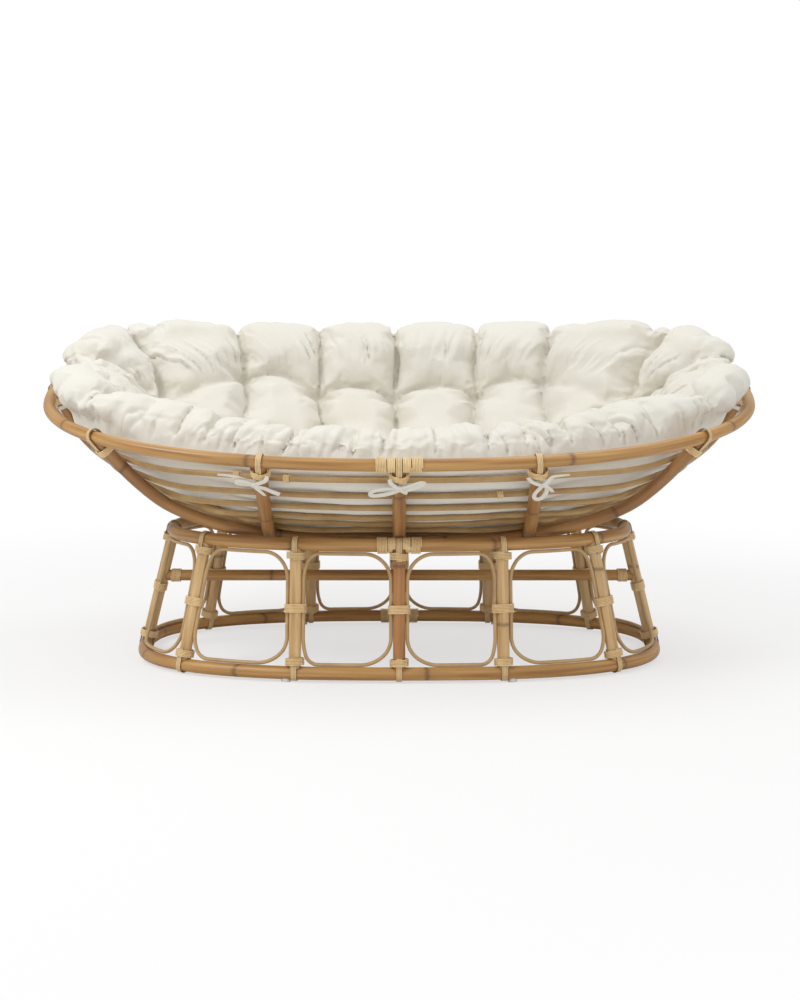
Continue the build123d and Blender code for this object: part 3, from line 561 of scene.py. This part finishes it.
def grid_normals(grid):
    """Normals of the sheet that point up into the bowl, smoothed round the border."""
    down = np.gradient(grid, axis=0)
    round_way = (np.roll(grid, -1, 1) - np.roll(grid, 1, 1)) / 2
    normals = unit(np.cross(down, round_way))
    toward = np.stack([-grid[..., 0], -grid[..., 1], 0.5 - grid[..., 2]], -1)
    normals = normals * np.sign((normals * toward).sum(-1, keepdims=True))
    for _ in range(6):
        normals = unit(normals + 0.5 * (np.roll(normals, 1, 1) + np.roll(normals, -1, 1)))
    return normals


def flat_place(points):
    """X, and the girth about the tilting axis, of points in the bowl's frame."""
    angle = np.arctan2(points[..., 1], AXIS_RISE - points[..., 2])
    return np.stack([points[..., 0], angle * GIRTH], -1)


def place_below(points):
    """The flat place of the sheet on the hoops that lies under each point, along its normal."""
    above = np.clip(above_hoops(points), 0, MOST_LOFT)
    below = across = np.abs(points[..., 0])
    for _ in range(3):
        slope = rest_radius(below - SLOPE_STEP) - rest_radius(below + SLOPE_STEP)
        turn = np.arctan(np.clip(slope / (2 * SLOPE_STEP), 0, MOST_SLOPE))
        below = across + above * np.sin(turn) * np.cos(turn)
    flat = flat_place(points)
    flat[..., 0] = np.sign(points[..., 0]) * below
    return flat


def tuft_place(x, degrees):
    return np.array((x, math.radians(degrees) * GIRTH))


def tuft_distance(flat, tuft):
    return np.linalg.norm(flat - tuft_place(*tuft), axis=-1)


def segment_distance(flat, start, end, sag=0.0):
    """The distance to a line that may bow towards the back between its ends."""
    run = end - start
    share = np.clip(((flat - start) @ run) / (run @ run), 0, 1)
    nearest = start + share[..., None] * run
    nearest[..., 1] += 4 * sag * share * (1 - share)
    return np.linalg.norm(flat - nearest, axis=-1)


def valley(distance, width):
    """1 in the fold and 0 beyond its width, with a sharp bottom and round shoulders."""
    share = 1 - np.clip(distance / width, 0, 1)
    return 1 - np.sqrt(np.maximum(0, 1 - share ** 2))


def wandering(flat):
    """Places shifted a little, so that a straight line between them wanders."""
    shift = np.stack([clouds(flat, WANDER_SIZE, 3.1), clouds(flat, WANDER_SIZE, 9.7)], -1)
    return flat + shift * WANDER


def crease_lines():
    """The folds between tufts: start, end, sink, width and how far the fold bows."""
    places = [tuft_place(*tuft) for tuft in TUFTS]
    rows = [places[COLUMNS * k:COLUMNS * (k + 1)] for k in range(4)]
    front, lower, upper, back = rows
    left_back, right_back, left_front, right_front = places[COLUMNS * 4:]
    lines = []
    for k in range(COLUMNS):
        for start, end, sink in zip(rows, rows[1:], COLUMN_SINKS):
            lines.append((start[k], end[k], sink, FOLD_WIDTH, 0))
        for tuft, degrees in ((front[k], -BORDER_DEGREES), (back[k], BORDER_DEGREES)):
            edge = tuft_place(tuft[0] * BORDER_SPREAD, degrees)
            lines.append((tuft, edge, BORDER_SINK, BORDER_FOLD_WIDTH, 0))
    for row, sag in zip(rows, ROW_SAGS):
        for a, b in zip(row, row[1:]):
            lines.append((a, b, ROW_SINK, FOLD_WIDTH, sag))
    for side, back_end, front_end, column in (
            (-1, left_back, left_front, 0), (1, right_back, right_front, COLUMNS - 1)):
        for start, end, sink, sag in (
                (back_end, back[column], 0.30, 0.02), (back_end, upper[column], 0.25, 0),
                (front_end, front[column], 0.30, 0), (front_end, lower[column], 0.25, 0),
                (back_end, front_end, 0.35, 0)):
            lines.append((start, end, sink, FOLD_WIDTH, sag))
        for start, folds in ((back_end, BACK_END_FOLDS), (front_end, FRONT_END_FOLDS)):
            for x, degrees, sink in folds:
                edge = tuft_place(side * x, degrees)
                lines.append((start, edge, sink, END_FOLD_WIDTH, 0))
    return lines


def fold_depth(flat):
    """How much of its loft the cushion loses at its tufts and folds."""
    flat = wandering(flat)
    depth = np.zeros(flat.shape[:-1])
    for start, end, sink, width, sag in crease_lines():
        np.maximum(depth, sink * valley(segment_distance(flat, start, end, sag), width), out=depth)
    for tuft in TUFTS:
        np.maximum(depth, TUFT_SINK * valley(tuft_distance(flat, tuft), TUFT_WIDTH), out=depth)
    return depth


def front_pleat(flat, x, top_degrees):
    """The distance to a pleat that runs down over the front border."""
    top = tuft_place(x * PLEAT_TOP_SHARE, top_degrees)
    foot = tuft_place(x * PLEAT_FOOT_SHARE, -BORDER_DEGREES)
    return segment_distance(flat, top, foot)


def border_pleats(flat, points):
    """1 where a fold runs over the border, 0 between the folds."""
    pleats = np.zeros(flat.shape[:-1])
    for x in FRONT_PLEATS:
        fold = valley(front_pleat(flat, x, PLEAT_TOP), PLEAT_WIDTH)
        np.maximum(pleats, FRONT_PLEAT_SHARE * fold, out=pleats)
    for column in range(COLUMNS):
        for row, degrees in ((0, -BORDER_DEGREES), (3, BORDER_DEGREES)):
            x, own_degrees = TUFTS[COLUMNS * row + column]
            edge = tuft_place(x * BORDER_SPREAD, degrees)
            distance = segment_distance(flat, tuft_place(x, own_degrees), edge)
            fold = valley(distance, COLUMN_PLEAT_WIDTH)
            np.maximum(pleats, COLUMN_PLEAT_SHARE * fold, out=pleats)
    angle = np.degrees(np.arctan2(points[..., 1], np.abs(points[..., 0]) - END_X))
    for side, places in END_PLEATS.items():
        at_end = points[..., 0] * side > END_X
        for place in places:
            near = np.abs(angle - place) * np.where(at_end, METRES_PER_DEGREE, FAR_AWAY)
            np.maximum(pleats, valley(near, PLEAT_WIDTH), out=pleats)
    return pleats


def tuft_rays(flat):
    """Small folds that run out from each tuft."""
    rays = np.zeros(flat.shape[:-1])
    for k, tuft in enumerate(TUFTS):
        offset = flat - tuft_place(*tuft)
        distance = np.linalg.norm(offset, axis=-1)
        turn = np.arctan2(offset[..., 1], offset[..., 0])
        count = FEWEST_RAYS + (k * 5) % 4
        wave = np.sin(count * turn + k * 1.7 + 2.0 * np.sin(2 * turn + k))
        rays += wave * np.exp(-((distance - RAY_REACH) / RAY_REACH) ** 2) * RAY_HEIGHT
    return rays


def clear_of_rim(points):
    """Move points that lie inside the rim pole, or just above it, out to its skin."""
    turn = np.linspace(0, 2 * math.pi, RIM_SAMPLES, endpoint=False)
    c, s = np.cos(turn), np.sin(turn)
    x = RIM_LENGTH * np.sign(c) * np.abs(c) ** (2 / RIM_POWER)
    y = RIM_WIDTH * np.sign(s) * np.abs(s) ** (2 / RIM_POWER)
    centre = np.column_stack([x, y, rim_height(x)])
    tree = KDTree(len(centre))
    for k, place in enumerate(centre):
        tree.insert(place, k)
    tree.balance()
    moved = points.copy()
    skin = RIM_RADIUS + SKIN_GAP
    near = np.nonzero(np.abs(above_rim(points)) < skin)[0]
    for k in near:
        place, _, distance = tree.find(points[k])
        if distance < skin:
            place = np.array(place)
            moved[k] = place + (points[k] - place) * (skin / max(distance, 1e-4))
    return moved


def border_gathers(border, from_border):
    """The border is drawn up on a cord: gathers that fade towards the middle."""
    steps = np.linalg.norm(np.roll(border, -1, 0) - border, axis=-1)
    turn = np.concatenate([[0], np.cumsum(steps)[:-1]]) / steps.sum() * 2 * math.pi
    radius = steps.sum() / (2 * math.pi)
    places = drum_places(turn, radius, from_border * GATHER_STRETCH)
    gathers = clouds(places, GATHER_SIZE, 1.3) + 0.6 * clouds(places, FINE_GATHER_SIZE, 6.1)
    sharp = np.clip(np.sign(gathers) * np.abs(gathers) ** 0.8, -0.8, 0.5)
    patches = 0.5 + 0.9 * np.abs(clouds(places, PATCH_SIZE, 7.7))
    return sharp * patches * np.exp(-from_border / GATHER_REACH) * GATHER_HEIGHT


def underside_bulge(grid):
    """How far the cover bulges between one hoop and the next."""
    bulge = np.zeros(grid.shape[:2])
    for above, below in zip((0.0,) + HOOP_LEVELS, HOOP_LEVELS):
        share = np.clip((above - grid[..., 2]) / (above - below), 0, 1)
        bulge += np.sin(share * math.pi) ** 2 * HOOP_BULGE * (1 + clouds(grid, BULGE_SIZE, 8.8))
    return bulge


def sheet_faces():
    """Faces of the two sheets, which share the border, and of the fans in their middles."""
    faces, m, n = [], MERIDIANS, STATIONS
    second = m * n
    top = second + m * (n - 1)

    def at(sheet, station, k):
        below = second if sheet and station < n - 1 else 0
        return below + station * m + k % m

    for station in range(n - 1):
        for k in range(m):
            corners = ((station, k), (station + 1, k), (station + 1, k + 1), (station, k + 1))
            faces.append(tuple(at(0, *corner) for corner in corners))
            faces.append(tuple(at(1, *corner) for corner in reversed(corners)))
    for k in range(m):
        faces.append((top, at(0, 0, k), at(0, 0, k + 1)))
        faces.append((top + 1, at(1, 0, k + 1), at(1, 0, k)))
    return faces


def cushion_shape():
    """Vertices, in the bowl's frame, and faces of the sewn cushion before it swells."""
    grid, from_border = rest_grid()
    normals = grid_normals(grid)
    flat = flat_place(grid)
    edge = np.sqrt(np.maximum(0, 1 - (1 - np.clip(from_border / EDGE_ROUND, 0, 1)) ** 2))
    loft = LOFT * (1 - fold_depth(flat) * np.clip(from_border / 0.04, 0.6, 1))
    loft *= 1 + LOFT_SHARE * clouds(flat, LOFT_SIZE, 5.0)
    ruffle = border_gathers(grid[-1], from_border)
    wrinkle = clouds(grid, SLACK_SIZE, 2.2) * SLACK + clouds(grid, FINE_SLACK_SIZE, 4.4) * FINE_SLACK
    pleats = border_pleats(flat, grid)
    near_border = np.exp(-from_border / PLEAT_REACH)
    middle = grid + normals * (LOFT / 2)
    relief = ruffle + wrinkle + tuft_rays(flat) - PLEAT_DEPTH * pleats * near_border
    relief *= np.clip(edge, 0.35, 1)
    inner = middle + normals * (edge * (loft - LOFT / 2) + relief)[..., None]
    outer = middle - normals * (edge * (LOFT / 2 + underside_bulge(grid)))[..., None]
    # Above the rim the border leans out over it, most at the ends and the back.
    outward = unit(grid * np.array([0.4, 1.0, 0.0]))
    lean = LEAN + END_LEAN * smooth_step(np.abs(grid[..., 0]), *END_PART)
    lean += BACK_LEAN * smooth_step(grid[..., 1], *BACK_PART)
    lean *= 1 - FRONT_LEAN_LOSS * smooth_step(-grid[..., 1], *FRONT_PART)
    for sheet in (inner, outer):
        over = smooth_step(above_rim(sheet), *OVER_RIM)
        sheet += outward * (over * (lean + 0.6 * ruffle - PLEAT_PULL * pleats))[..., None]
        sheet[..., 2] -= PLEAT_DROP * pleats * near_border * over
    vertices = np.concatenate([
        inner.reshape(-1, 3), outer[:-1].reshape(-1, 3),
        inner[0].mean(0)[None], outer[0].mean(0)[None]])
    return vertices, sheet_faces()


def held_share(points):
    """How firmly each place is held: the underside, the tufts and the deep folds."""
    flat = wandering(place_below(points))
    low = 1 - smooth_step(above_rim(points), *HELD_HEIGHT)
    held = np.where(above_hoops(points) < UNDERSIDE, low, 0.0)
    for tuft in TUFTS:
        held = np.maximum(held, 1 - smooth_step(tuft_distance(flat, tuft), *HELD_TUFT))
    for start, end, sink, _, sag in crease_lines():
        distance = segment_distance(flat, start, end, sag)
        held = np.maximum(held, FOLD_HOLD * sink * (1 - smooth_step(distance, *HELD_FOLD)))
    return held


def apply_modifiers(piece):
    depsgraph = bpy.context.evaluated_depsgraph_get()
    mesh = bpy.data.meshes.new_from_object(piece.evaluated_get(depsgraph))
    old = piece.data
    piece.modifiers.clear()
    piece.data = mesh
    bpy.data.meshes.remove(old)


def swell(piece):
    """Let the cover swell with the tufts, the deep folds and the underside held."""
    modifier = piece.modifiers.new("remesh", "REMESH")
    modifier.mode = "VOXEL"
    modifier.voxel_size = VOXEL
    modifier.use_smooth_shade = True
    apply_modifiers(piece)
    points, _ = mesh_arrays(piece.data)
    levels = np.round(held_share(points), 1)
    group = piece.vertex_groups.new(name="held")
    for level in np.unique(levels):
        if level > 0:
            group.add(np.nonzero(levels == level)[0].tolist(), float(level), "REPLACE")
    cloth = piece.modifiers.new("cloth", "CLOTH")
    for key, value in CLOTH.items():
        setattr(cloth.settings, key, value)
    cloth.settings.effector_weights.gravity = 0
    cloth.collision_settings.use_collision = False
    cloth.collision_settings.use_self_collision = False
    for number in range(1, LAST_FRAME + 1):
        scene.frame_set(number)
    depsgraph = bpy.context.evaluated_depsgraph_get()
    done, _ = mesh_arrays(piece.evaluated_get(depsgraph).data)
    piece.modifiers.remove(cloth)
    shift = done - points
    distance = np.linalg.norm(shift, axis=1, keepdims=True)
    points += shift * np.minimum(1, SWELL / np.maximum(distance, 1e-9))
    piece.data.vertices.foreach_set("co", points.ravel())
    scene.frame_set(1)
    modifier = piece.modifiers.new("smooth", "SUBSURF")
    modifier.levels = 1
    apply_modifiers(piece)


def creases(points):
    """How deep each place lies in the sharp folds between the tufts and at the border."""
    flat = wandering(place_below(points))
    depth = np.zeros(len(points))
    for start, end, sink, _, sag in crease_lines():
        distance = segment_distance(flat, start, end, sag)
        np.maximum(depth, sink * valley(distance, CREASE_WIDTH), out=depth)
    for tuft in TUFTS:
        depth *= smooth_step(tuft_distance(flat, tuft), *CREASE_FADE)
    for x in FRONT_PLEATS:
        fold = valley(front_pleat(flat, x, CREASE_TOP), PLEAT_CREASE_WIDTH)
        np.maximum(depth, PLEAT_CREASE_SHARE * fold, out=depth)
    upper = smooth_step(above_hoops(points), *CREASED_LOFT)
    high = smooth_step(above_rim(points), *CREASED_HEIGHT)
    return depth * np.maximum(upper, high)


def sewn_relief(points):
    """Sharp folds, and the small gathers in a band just above the rim."""
    height = above_rim(points)
    turn = np.arctan2(points[:, 1] / SHEET_REACH[1], points[:, 0] / SHEET_REACH[0])
    places = drum_places(turn, BAND_RADIUS, height * BAND_STRETCH)
    band = smooth_step(height, *BAND_FOOT) * (1 - smooth_step(height, *BAND_TOP))
    fine = clouds(places, FINE_SIZES[0], 3.3) + 0.5 * clouds(places, FINE_SIZES[1], 5.9)
    drawn = valley(np.abs(clouds(places, DRAWN_SIZES[0], 12.3)), 0.16)
    drawn *= smooth_step(clouds(places, DRAWN_SIZES[1], 4.1), -0.25, 0.25)
    return fine * band * FINE_HEIGHT - drawn * band * DRAWN_DEPTH - creases(points) * CREASE_DEPTH


def build_cushion():
    vertices, faces = cushion_shape()
    piece = make_object("tufted_cushion", vertices, faces, cotton, "bowl")
    swell(piece)
    points, normals = mesh_arrays(piece.data)
    points = points + normals * sewn_relief(points)[:, None]
    points = to_world(clear_of_rim(points))
    piece.data.vertices.foreach_set("co", points.ravel())
    piece.data.polygons.foreach_set("use_smooth", [True] * len(piece.data.polygons))
    piece.data.update()
    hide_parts("cushion")


build_cushion()


# Ties: tapes of the cushion, knotted round the bows below the rim. Each tape is a row of places
# across the bow, down it, and out from its middle, in millimetres.
TAPE_WIDTH, TAPE_THICKNESS, TAPE_GAP, TAPE_TWISTS = 0.009, 0.0012, 0.0008, (-0.4, 0.5)
TIE_DROP, END_SLOPE = 0.042, math.radians(66.5)
CROSS_BOW_SKIN, LONG_BOW_SKIN = 0.014, 0.0135
KNOT_OUT, KNOT_LENGTH, KNOT_WIDTH, KNOT_HEIGHT = 0.0225, 0.0068, 0.0058, 0.0048
BAND_STEPS = 48
FRONT_LEFT = (
    ((-14, 0, 21), (-30, -12, 20), (-56, -22, 19), (-84, -25, 18)),
    ((-14, 0, 23), (-26, -10, 25), (-44, -12, 24), (-46, -3, 22), (-34, 1, 22), (-14, 2, 23)),
    ((-14, 0, 24), (0, -7, 25), (12, -14, 24), (16, -24, 22)),
    ((-14, 0, 25), (-4, 12, 25), (8, 31, 23)),
    ((-14, 0, 26), (8, 8, 25), (24, 20, 23), (38, 28, 22)),
)
CENTRE = (
    ((0, 0, 21), (-22, 2, 22), (-50, 8, 22), (-58, 17, 22), (-50, 21, 22), (-24, 15, 23), (0, 4, 23)),
    ((0, 0, 24), (16, -6, 25), (40, -17, 24), (50, -16, 23), (44, -8, 23), (22, 0, 24), (2, 3, 24)),
    ((0, 0, 25), (8, 5, 26), (17, 10, 25)),
    ((0, 0, 26), (-8, -7, 25), (-17, -15, 22), (-19, -24, 20)),
)
FRONT_RIGHT = (
    ((14, 0, 21), (4, 10, 23), (-6, 28, 24), (-2, 40, 24), (10, 36, 24), (18, 18, 24), (16, 2, 23)),
    ((14, 0, 24), (20, -12, 24), (28, -22, 22), (46, -24, 20), (62, -25, 19)),
    ((14, 0, 25), (2, -1, 24), (-14, -8, 22), (-22, -18, 20)),
    ((14, 0, 26), (24, 8, 26), (30, 18, 25)),
)
END = (
    ((0, 0, 21), (-10, 8, 21), (-20, 24, 20), (-22, 40, 19)),
    ((0, 0, 22), (12, 10, 22), (18, 24, 21), (20, 34, 20)),
    ((0, 0, 23), (-14, -4, 24), (-24, 2, 24), (-16, 8, 23), (-2, 2, 23)),
    ((0, 0, 24), (14, -6, 25), (24, -2, 24), (16, 6, 24), (2, 2, 24)),
)


def smooth_row(points, count=10):
    """More places on a smooth curve through a row of places."""
    p = np.concatenate([2 * points[:1] - points[1:2], points, 2 * points[-1:] - points[-2:-1]])
    rows = []
    for k in range(1, len(p) - 2):
        for t in np.linspace(0, 1, count, endpoint=False):
            a, b, c, d = p[k - 1], p[k], p[k + 1], p[k + 2]
            rows.append(0.5 * (2 * b + (c - a) * t + (2 * a - 5 * b + 4 * c - d) * t ** 2
                               + (3 * b - a - 3 * c + d) * t ** 3))
    return np.array(rows + [p[-2]])


def ring_faces(rows, around, closed=False, first=0):
    """Faces between rings of vertices. A closed row of rings joins its last to its first."""
    faces = []
    for k in range(rows if closed else rows - 1):
        a, b = first + k * around, first + (k + 1) % rows * around
        for e in range(around):
            f = (e + 1) % around
            faces.append((a + e, a + f, b + f, b + e))
    return faces


def tape(points, twist, closed=False):
    """A flat tape along places: its vertices and faces, five across on each side."""
    if closed:
        ways = unit(np.roll(points, -1, 0) - np.roll(points, 1, 0))
        out = unit(points - points.mean(0))
    else:
        ways = unit(np.gradient(points, axis=0))
        out = np.array([0.0, 0.0, 1.0])
    sides = unit(np.cross(ways, out))
    tops = np.cross(sides, ways)
    turn = (twist * np.linspace(0, 1, len(points)) ** 2)[:, None]
    c, s = np.cos(turn), np.sin(turn)
    sides, tops = sides * c + tops * s, tops * c - sides * s
    spots = [(u, 1 - 0.5 * abs(u)) for u in (-1, -0.5, 0, 0.5, 1)]
    ring = spots + [(u, -h) for u, h in reversed(spots)]
    vertices = np.concatenate([
        points + sides * (u * TAPE_WIDTH / 2) + tops * (h * TAPE_THICKNESS / 2) for u, h in ring])
    vertices = vertices.reshape(len(ring), len(points), 3).transpose(1, 0, 2).reshape(-1, 3)
    n = len(ring)
    faces = [(a, d, c, b) for a, b, c, d in ring_faces(len(points), n, closed)]
    if not closed:
        faces.append(tuple(range(n)))
        faces.append(tuple(reversed(range((len(points) - 1) * n, len(points) * n))))
    return vertices, faces


def knot(across, out):
    """A small pulled knot: a lump with two wraps of tape drawn round it."""
    turns, rows, vertices = 24, 12, []
    for r in range(rows + 1):
        lift = math.pi * r / rows
        for t in range(turns):
            a = 2 * math.pi * t / turns
            grooves = 1 + 0.10 * math.sin(3 * lift + 2 * a) - 0.08 * math.cos(4 * a - lift)
            w = math.sin(lift) * grooves
            vertices.append((across + KNOT_LENGTH * math.cos(lift), KNOT_WIDTH * w * math.sin(a),
                             out + KNOT_HEIGHT * w * math.cos(a)))
    return np.array(vertices), ring_faces(rows + 1, turns)


def tie_frames():
    """The middle of the bow at each tie, the ways across, down and out, and the bow's radius."""
    groups = {"front": [], "back": [], "end": []}
    for x in (-CROSS_BOW_X, 0.0, CROSS_BOW_X):
        y = RIM_WIDTH * (1 - (abs(x) / RIM_LENGTH) ** RIM_POWER) ** (1 / RIM_POWER)
        radius = math.hypot(y, AXIS_RISE - rim_height(x))
        angle = math.atan2(y, AXIS_RISE - rim_height(x)) - TIE_DROP / radius
        c, s = math.cos(angle), math.sin(angle)
        for group, side in (("front", -1), ("back", 1)):
            centre = np.array([x, side * radius * s, AXIS_RISE - radius * c])
            across, down = np.array([-side, 0, 0]), np.array([0, -side * c, -s])
            out = np.array([0, side * s, -c])
            groups[group].append((centre, across, down, out, CROSS_BOW_SKIN))
    c, s = math.cos(END_SLOPE), math.sin(END_SLOPE)
    for side in (-1, 1):
        centre = np.array([side * (RIM_LENGTH - TIE_DROP * c), 0, RIM_END_RISE - TIE_DROP * s])
        across, down = np.array([0, -side, 0]), np.array([-side * c, 0, -s])
        out = np.array([side * s, 0, -c])
        groups["end"].append((centre, across, down, out, LONG_BOW_SKIN))
    return groups


def build_ties():
    tapes = {"front": (FRONT_LEFT, CENTRE, FRONT_RIGHT), "back": (CENTRE, END, FRONT_LEFT),
             "end": (END, END)}
    for group, frames in tie_frames().items():
        vertices, faces, count = [], [], 0
        for (centre, across, down, out, radius), rows in zip(frames, tapes[group]):
            turn = np.linspace(0, 2 * math.pi, BAND_STEPS, endpoint=False)
            skin = radius + TAPE_GAP + TAPE_THICKNESS / 2
            band = np.column_stack([np.cos(turn), np.zeros(BAND_STEPS), np.sin(turn)]) * skin
            knot_across = rows[0][0][0] / 1000
            parts = [tape(band, 0.0, closed=True), knot(knot_across, KNOT_OUT)]
            for k, row in enumerate(rows):
                places = smooth_row(np.array(row, float) / 1000)
                parts.append(tape(places, TAPE_TWISTS[k % 2]))
            for own, own_faces in parts:
                local = centre + own[:, :1] * across + own[:, 1:2] * down + own[:, 2:] * out
                vertices.append(to_world(local))
                faces += [tuple(v + count for v in face) for face in own_faces]
                count += len(own)
        piece = make_object(
            group + "_tapes", np.concatenate(vertices), faces, tape_cotton, "bowl")
        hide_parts(group + "_ties")


build_ties()


# Split cane wound on between the strap of each splice and the short wraps beside it. Within
# JOINED_POLE of the strap the turns stop at the pole below, which lies at open_turn.
STRAP_EDGE, WRAP_EDGE, JOINED_POLE = 0.0072, 0.0236, 0.0135
CANE_STRAND, POLE_GAP = 0.0026, 0.0010
WRAP_TURNS, ARC_REACH = 5, math.radians(122)
TURN_STEPS, STRAND_STEPS, TURN_LEAN, STRAND_SHARE = 48, 10, 0.12, 0.48
SPLICES = (("rim", "bowl", 2.16), ("top_ring", "stand", 1.40), ("bottom_ring", "stand", -1.40))


def wound(centre, radius, open_turn):
    """Turns of flat cane round a pole along X. Those near the strap stop at the pole below."""
    vertices, faces = [], []
    pitch = (WRAP_EDGE - STRAP_EDGE) / WRAP_TURNS
    section = np.linspace(0, 2 * math.pi, STRAND_STEPS, endpoint=False)
    n, steps = STRAND_STEPS, TURN_STEPS
    for index in range(2 * WRAP_TURNS):
        side = 1 if index % 2 else -1
        x = side * (STRAP_EDGE + (index // 2 + 0.5) * pitch)
        shut = abs(x) > JOINED_POLE
        reach = math.pi if shut else ARC_REACH
        turns = open_turn + np.linspace(-reach, reach, steps, endpoint=not shut)
        first = len(vertices)
        for a in turns:
            for e in section:
                r = radius + CANE_STRAND / 2 * (1 + math.sin(e))
                shift = TURN_LEAN * side * math.sin(a) + STRAND_SHARE * math.cos(e)
                across = x + pitch * shift
                vertices.append(centre + np.array((across, r * math.cos(a), r * math.sin(a))))
        faces += ring_faces(steps, n, shut, first)
        if not shut:
            faces.append(tuple(first + e for e in reversed(range(n))))
            faces.append(tuple(first + (steps - 1) * n + e for e in range(n)))
    return np.array(vertices), faces


def build_splice_wraps():
    """Each wrap is centred on the CAD wraps that it lies between, and opens at the pole below."""
    for pole, body, open_turn in SPLICES:
        places, _ = mesh_arrays(nodes[pole + "_splice"].data)
        low, high = places.min(0), places.max(0)
        radius = (high[2] - low[2]) / 2 - CANE_STRAND - POLE_GAP
        vertices, faces = wound((low + high) / 2, radius, open_turn)
        piece = make_object(
            pole + "_splice_middle", vertices, faces, split_cane, body)
        count = len(vertices)
        store_places(piece.data, np.full(count, MID_STRAND), np.zeros(count), 0.0)


build_splice_wraps()


# Camera and light
CAMERA_PLACE, CAMERA_DROP = (0.0018, -3.4221, 0.7933), 0.1300
CAMERA_LENS, CAMERA_SENSOR = 53.67, 36.0
# Light from the sky grows from its strength below to its strength above
SKY_LOW, SKY_HIGH, SKY_FROM, SKY_TO = 0.34, 0.86, -0.4, 1.0
# Name, place, aim, size in metres and power in watts
LAMPS = (
    ("key", (-1.9, -1.5, 2.6), (0, 0, 0.45), 0.9, 32),
    ("fill", (2.6, -2.4, 1.6), (0, 0, 0.4), 2.2, 8),
    ("top", (0.8, 0.5, 3.2), (0, 0, 0.4), 1.4, 16),
)
# The floor keeps part of its shadow near the seat, and is plain white beyond
FLOOR_SIZE, FLOOR_GREY, FLOOR_NEAR, FLOOR_FAR, NEAR_GLOW = 30, 0.9, 1.0, 2.4, 0.6


def build_camera():
    data = bpy.data.cameras.new("camera")
    data.lens = CAMERA_LENS
    data.sensor_width = CAMERA_SENSOR
    camera = bpy.data.objects.new("camera", data)
    camera.location = CAMERA_PLACE
    camera.rotation_euler = (math.pi / 2 - CAMERA_DROP, 0, 0)
    scene.collection.objects.link(camera)
    scene.camera = camera


def build_world():
    """Soft light from all round, stronger from above. The camera itself sees plain white."""
    world = bpy.data.worlds.new("studio")
    scene.world = world
    world.use_nodes = True
    world.node_tree.nodes.clear()
    s = NodeTree(world.node_tree)
    way = s.add("SeparateXYZ", {0: s.add("TexCoord").outputs["Generated"]}).outputs["Z"]
    limits = {"From Min": SKY_FROM, "From Max": SKY_TO, "To Min": SKY_LOW, "To Max": SKY_HIGH}
    strength = s.add("MapRange", {"Value": way, **limits}).outputs[0]
    light = s.add("Background", {"Color": WHITE, "Strength": strength}).outputs[0]
    white = s.add("Background", {"Color": WHITE, "Strength": 1.0}).outputs[0]
    seen = s.add("LightPath").outputs["Is Camera Ray"]
    mixed = s.add("MixShader", {0: seen, 1: light, 2: white}).outputs[0]
    s.add("OutputWorld", {"Surface": mixed})


def add_lamp(name, place, aim, size, watts):
    data = bpy.data.lights.new(name, "AREA")
    data.shape = "SQUARE"
    data.size = size
    data.energy = watts
    lamp = bpy.data.objects.new(name, data)
    lamp.location = place
    lamp.rotation_euler = (Vector(aim) - Vector(place)).to_track_quat("-Z", "Y").to_euler()
    scene.collection.objects.link(lamp)


def floor_material():
    s = Shader("floor_white", 0.9, Specular_IOR_Level=0.1)
    s.shader.inputs["Base Color"].default_value = (FLOOR_GREY, FLOOR_GREY, FLOOR_GREY, 1)
    place = s.add("TexCoord").outputs["Object"]
    reach = s.add("VectorMath", {0: place}, operation="LENGTH").outputs["Value"]
    limits = {"From Min": FLOOR_NEAR, "From Max": FLOOR_FAR, "To Min": NEAR_GLOW, "To Max": 1.0}
    far = s.add("MapRange", {"Value": reach, **limits}, interpolation_type="SMOOTHSTEP").outputs[0]
    share = s.math("MULTIPLY", s.add("LightPath").outputs["Is Camera Ray"], far)
    glow = s.add("Emission", {"Color": WHITE, "Strength": 1.0}).outputs[0]
    blend = s.add("MixShader", {0: share, 1: s.shader.outputs[0], 2: glow}).outputs[0]
    s.tree.links.new(blend, s.tree.nodes["Material Output"].inputs["Surface"])
    return s.material


def build_floor():
    mesh = bpy.data.meshes.new("floor")
    edit = bmesh.new()
    bmesh.ops.create_grid(edit, x_segments=1, y_segments=1, size=FLOOR_SIZE)
    edit.to_mesh(mesh)
    edit.free()
    mesh.materials.append(floor_material())
    floor = bpy.data.objects.new("floor", mesh)
    scene.collection.objects.link(floor)


build_camera()
build_world()
for lamp_row in LAMPS:
    add_lamp(*lamp_row)
build_floor()

scene.view_settings.view_transform = "Standard"
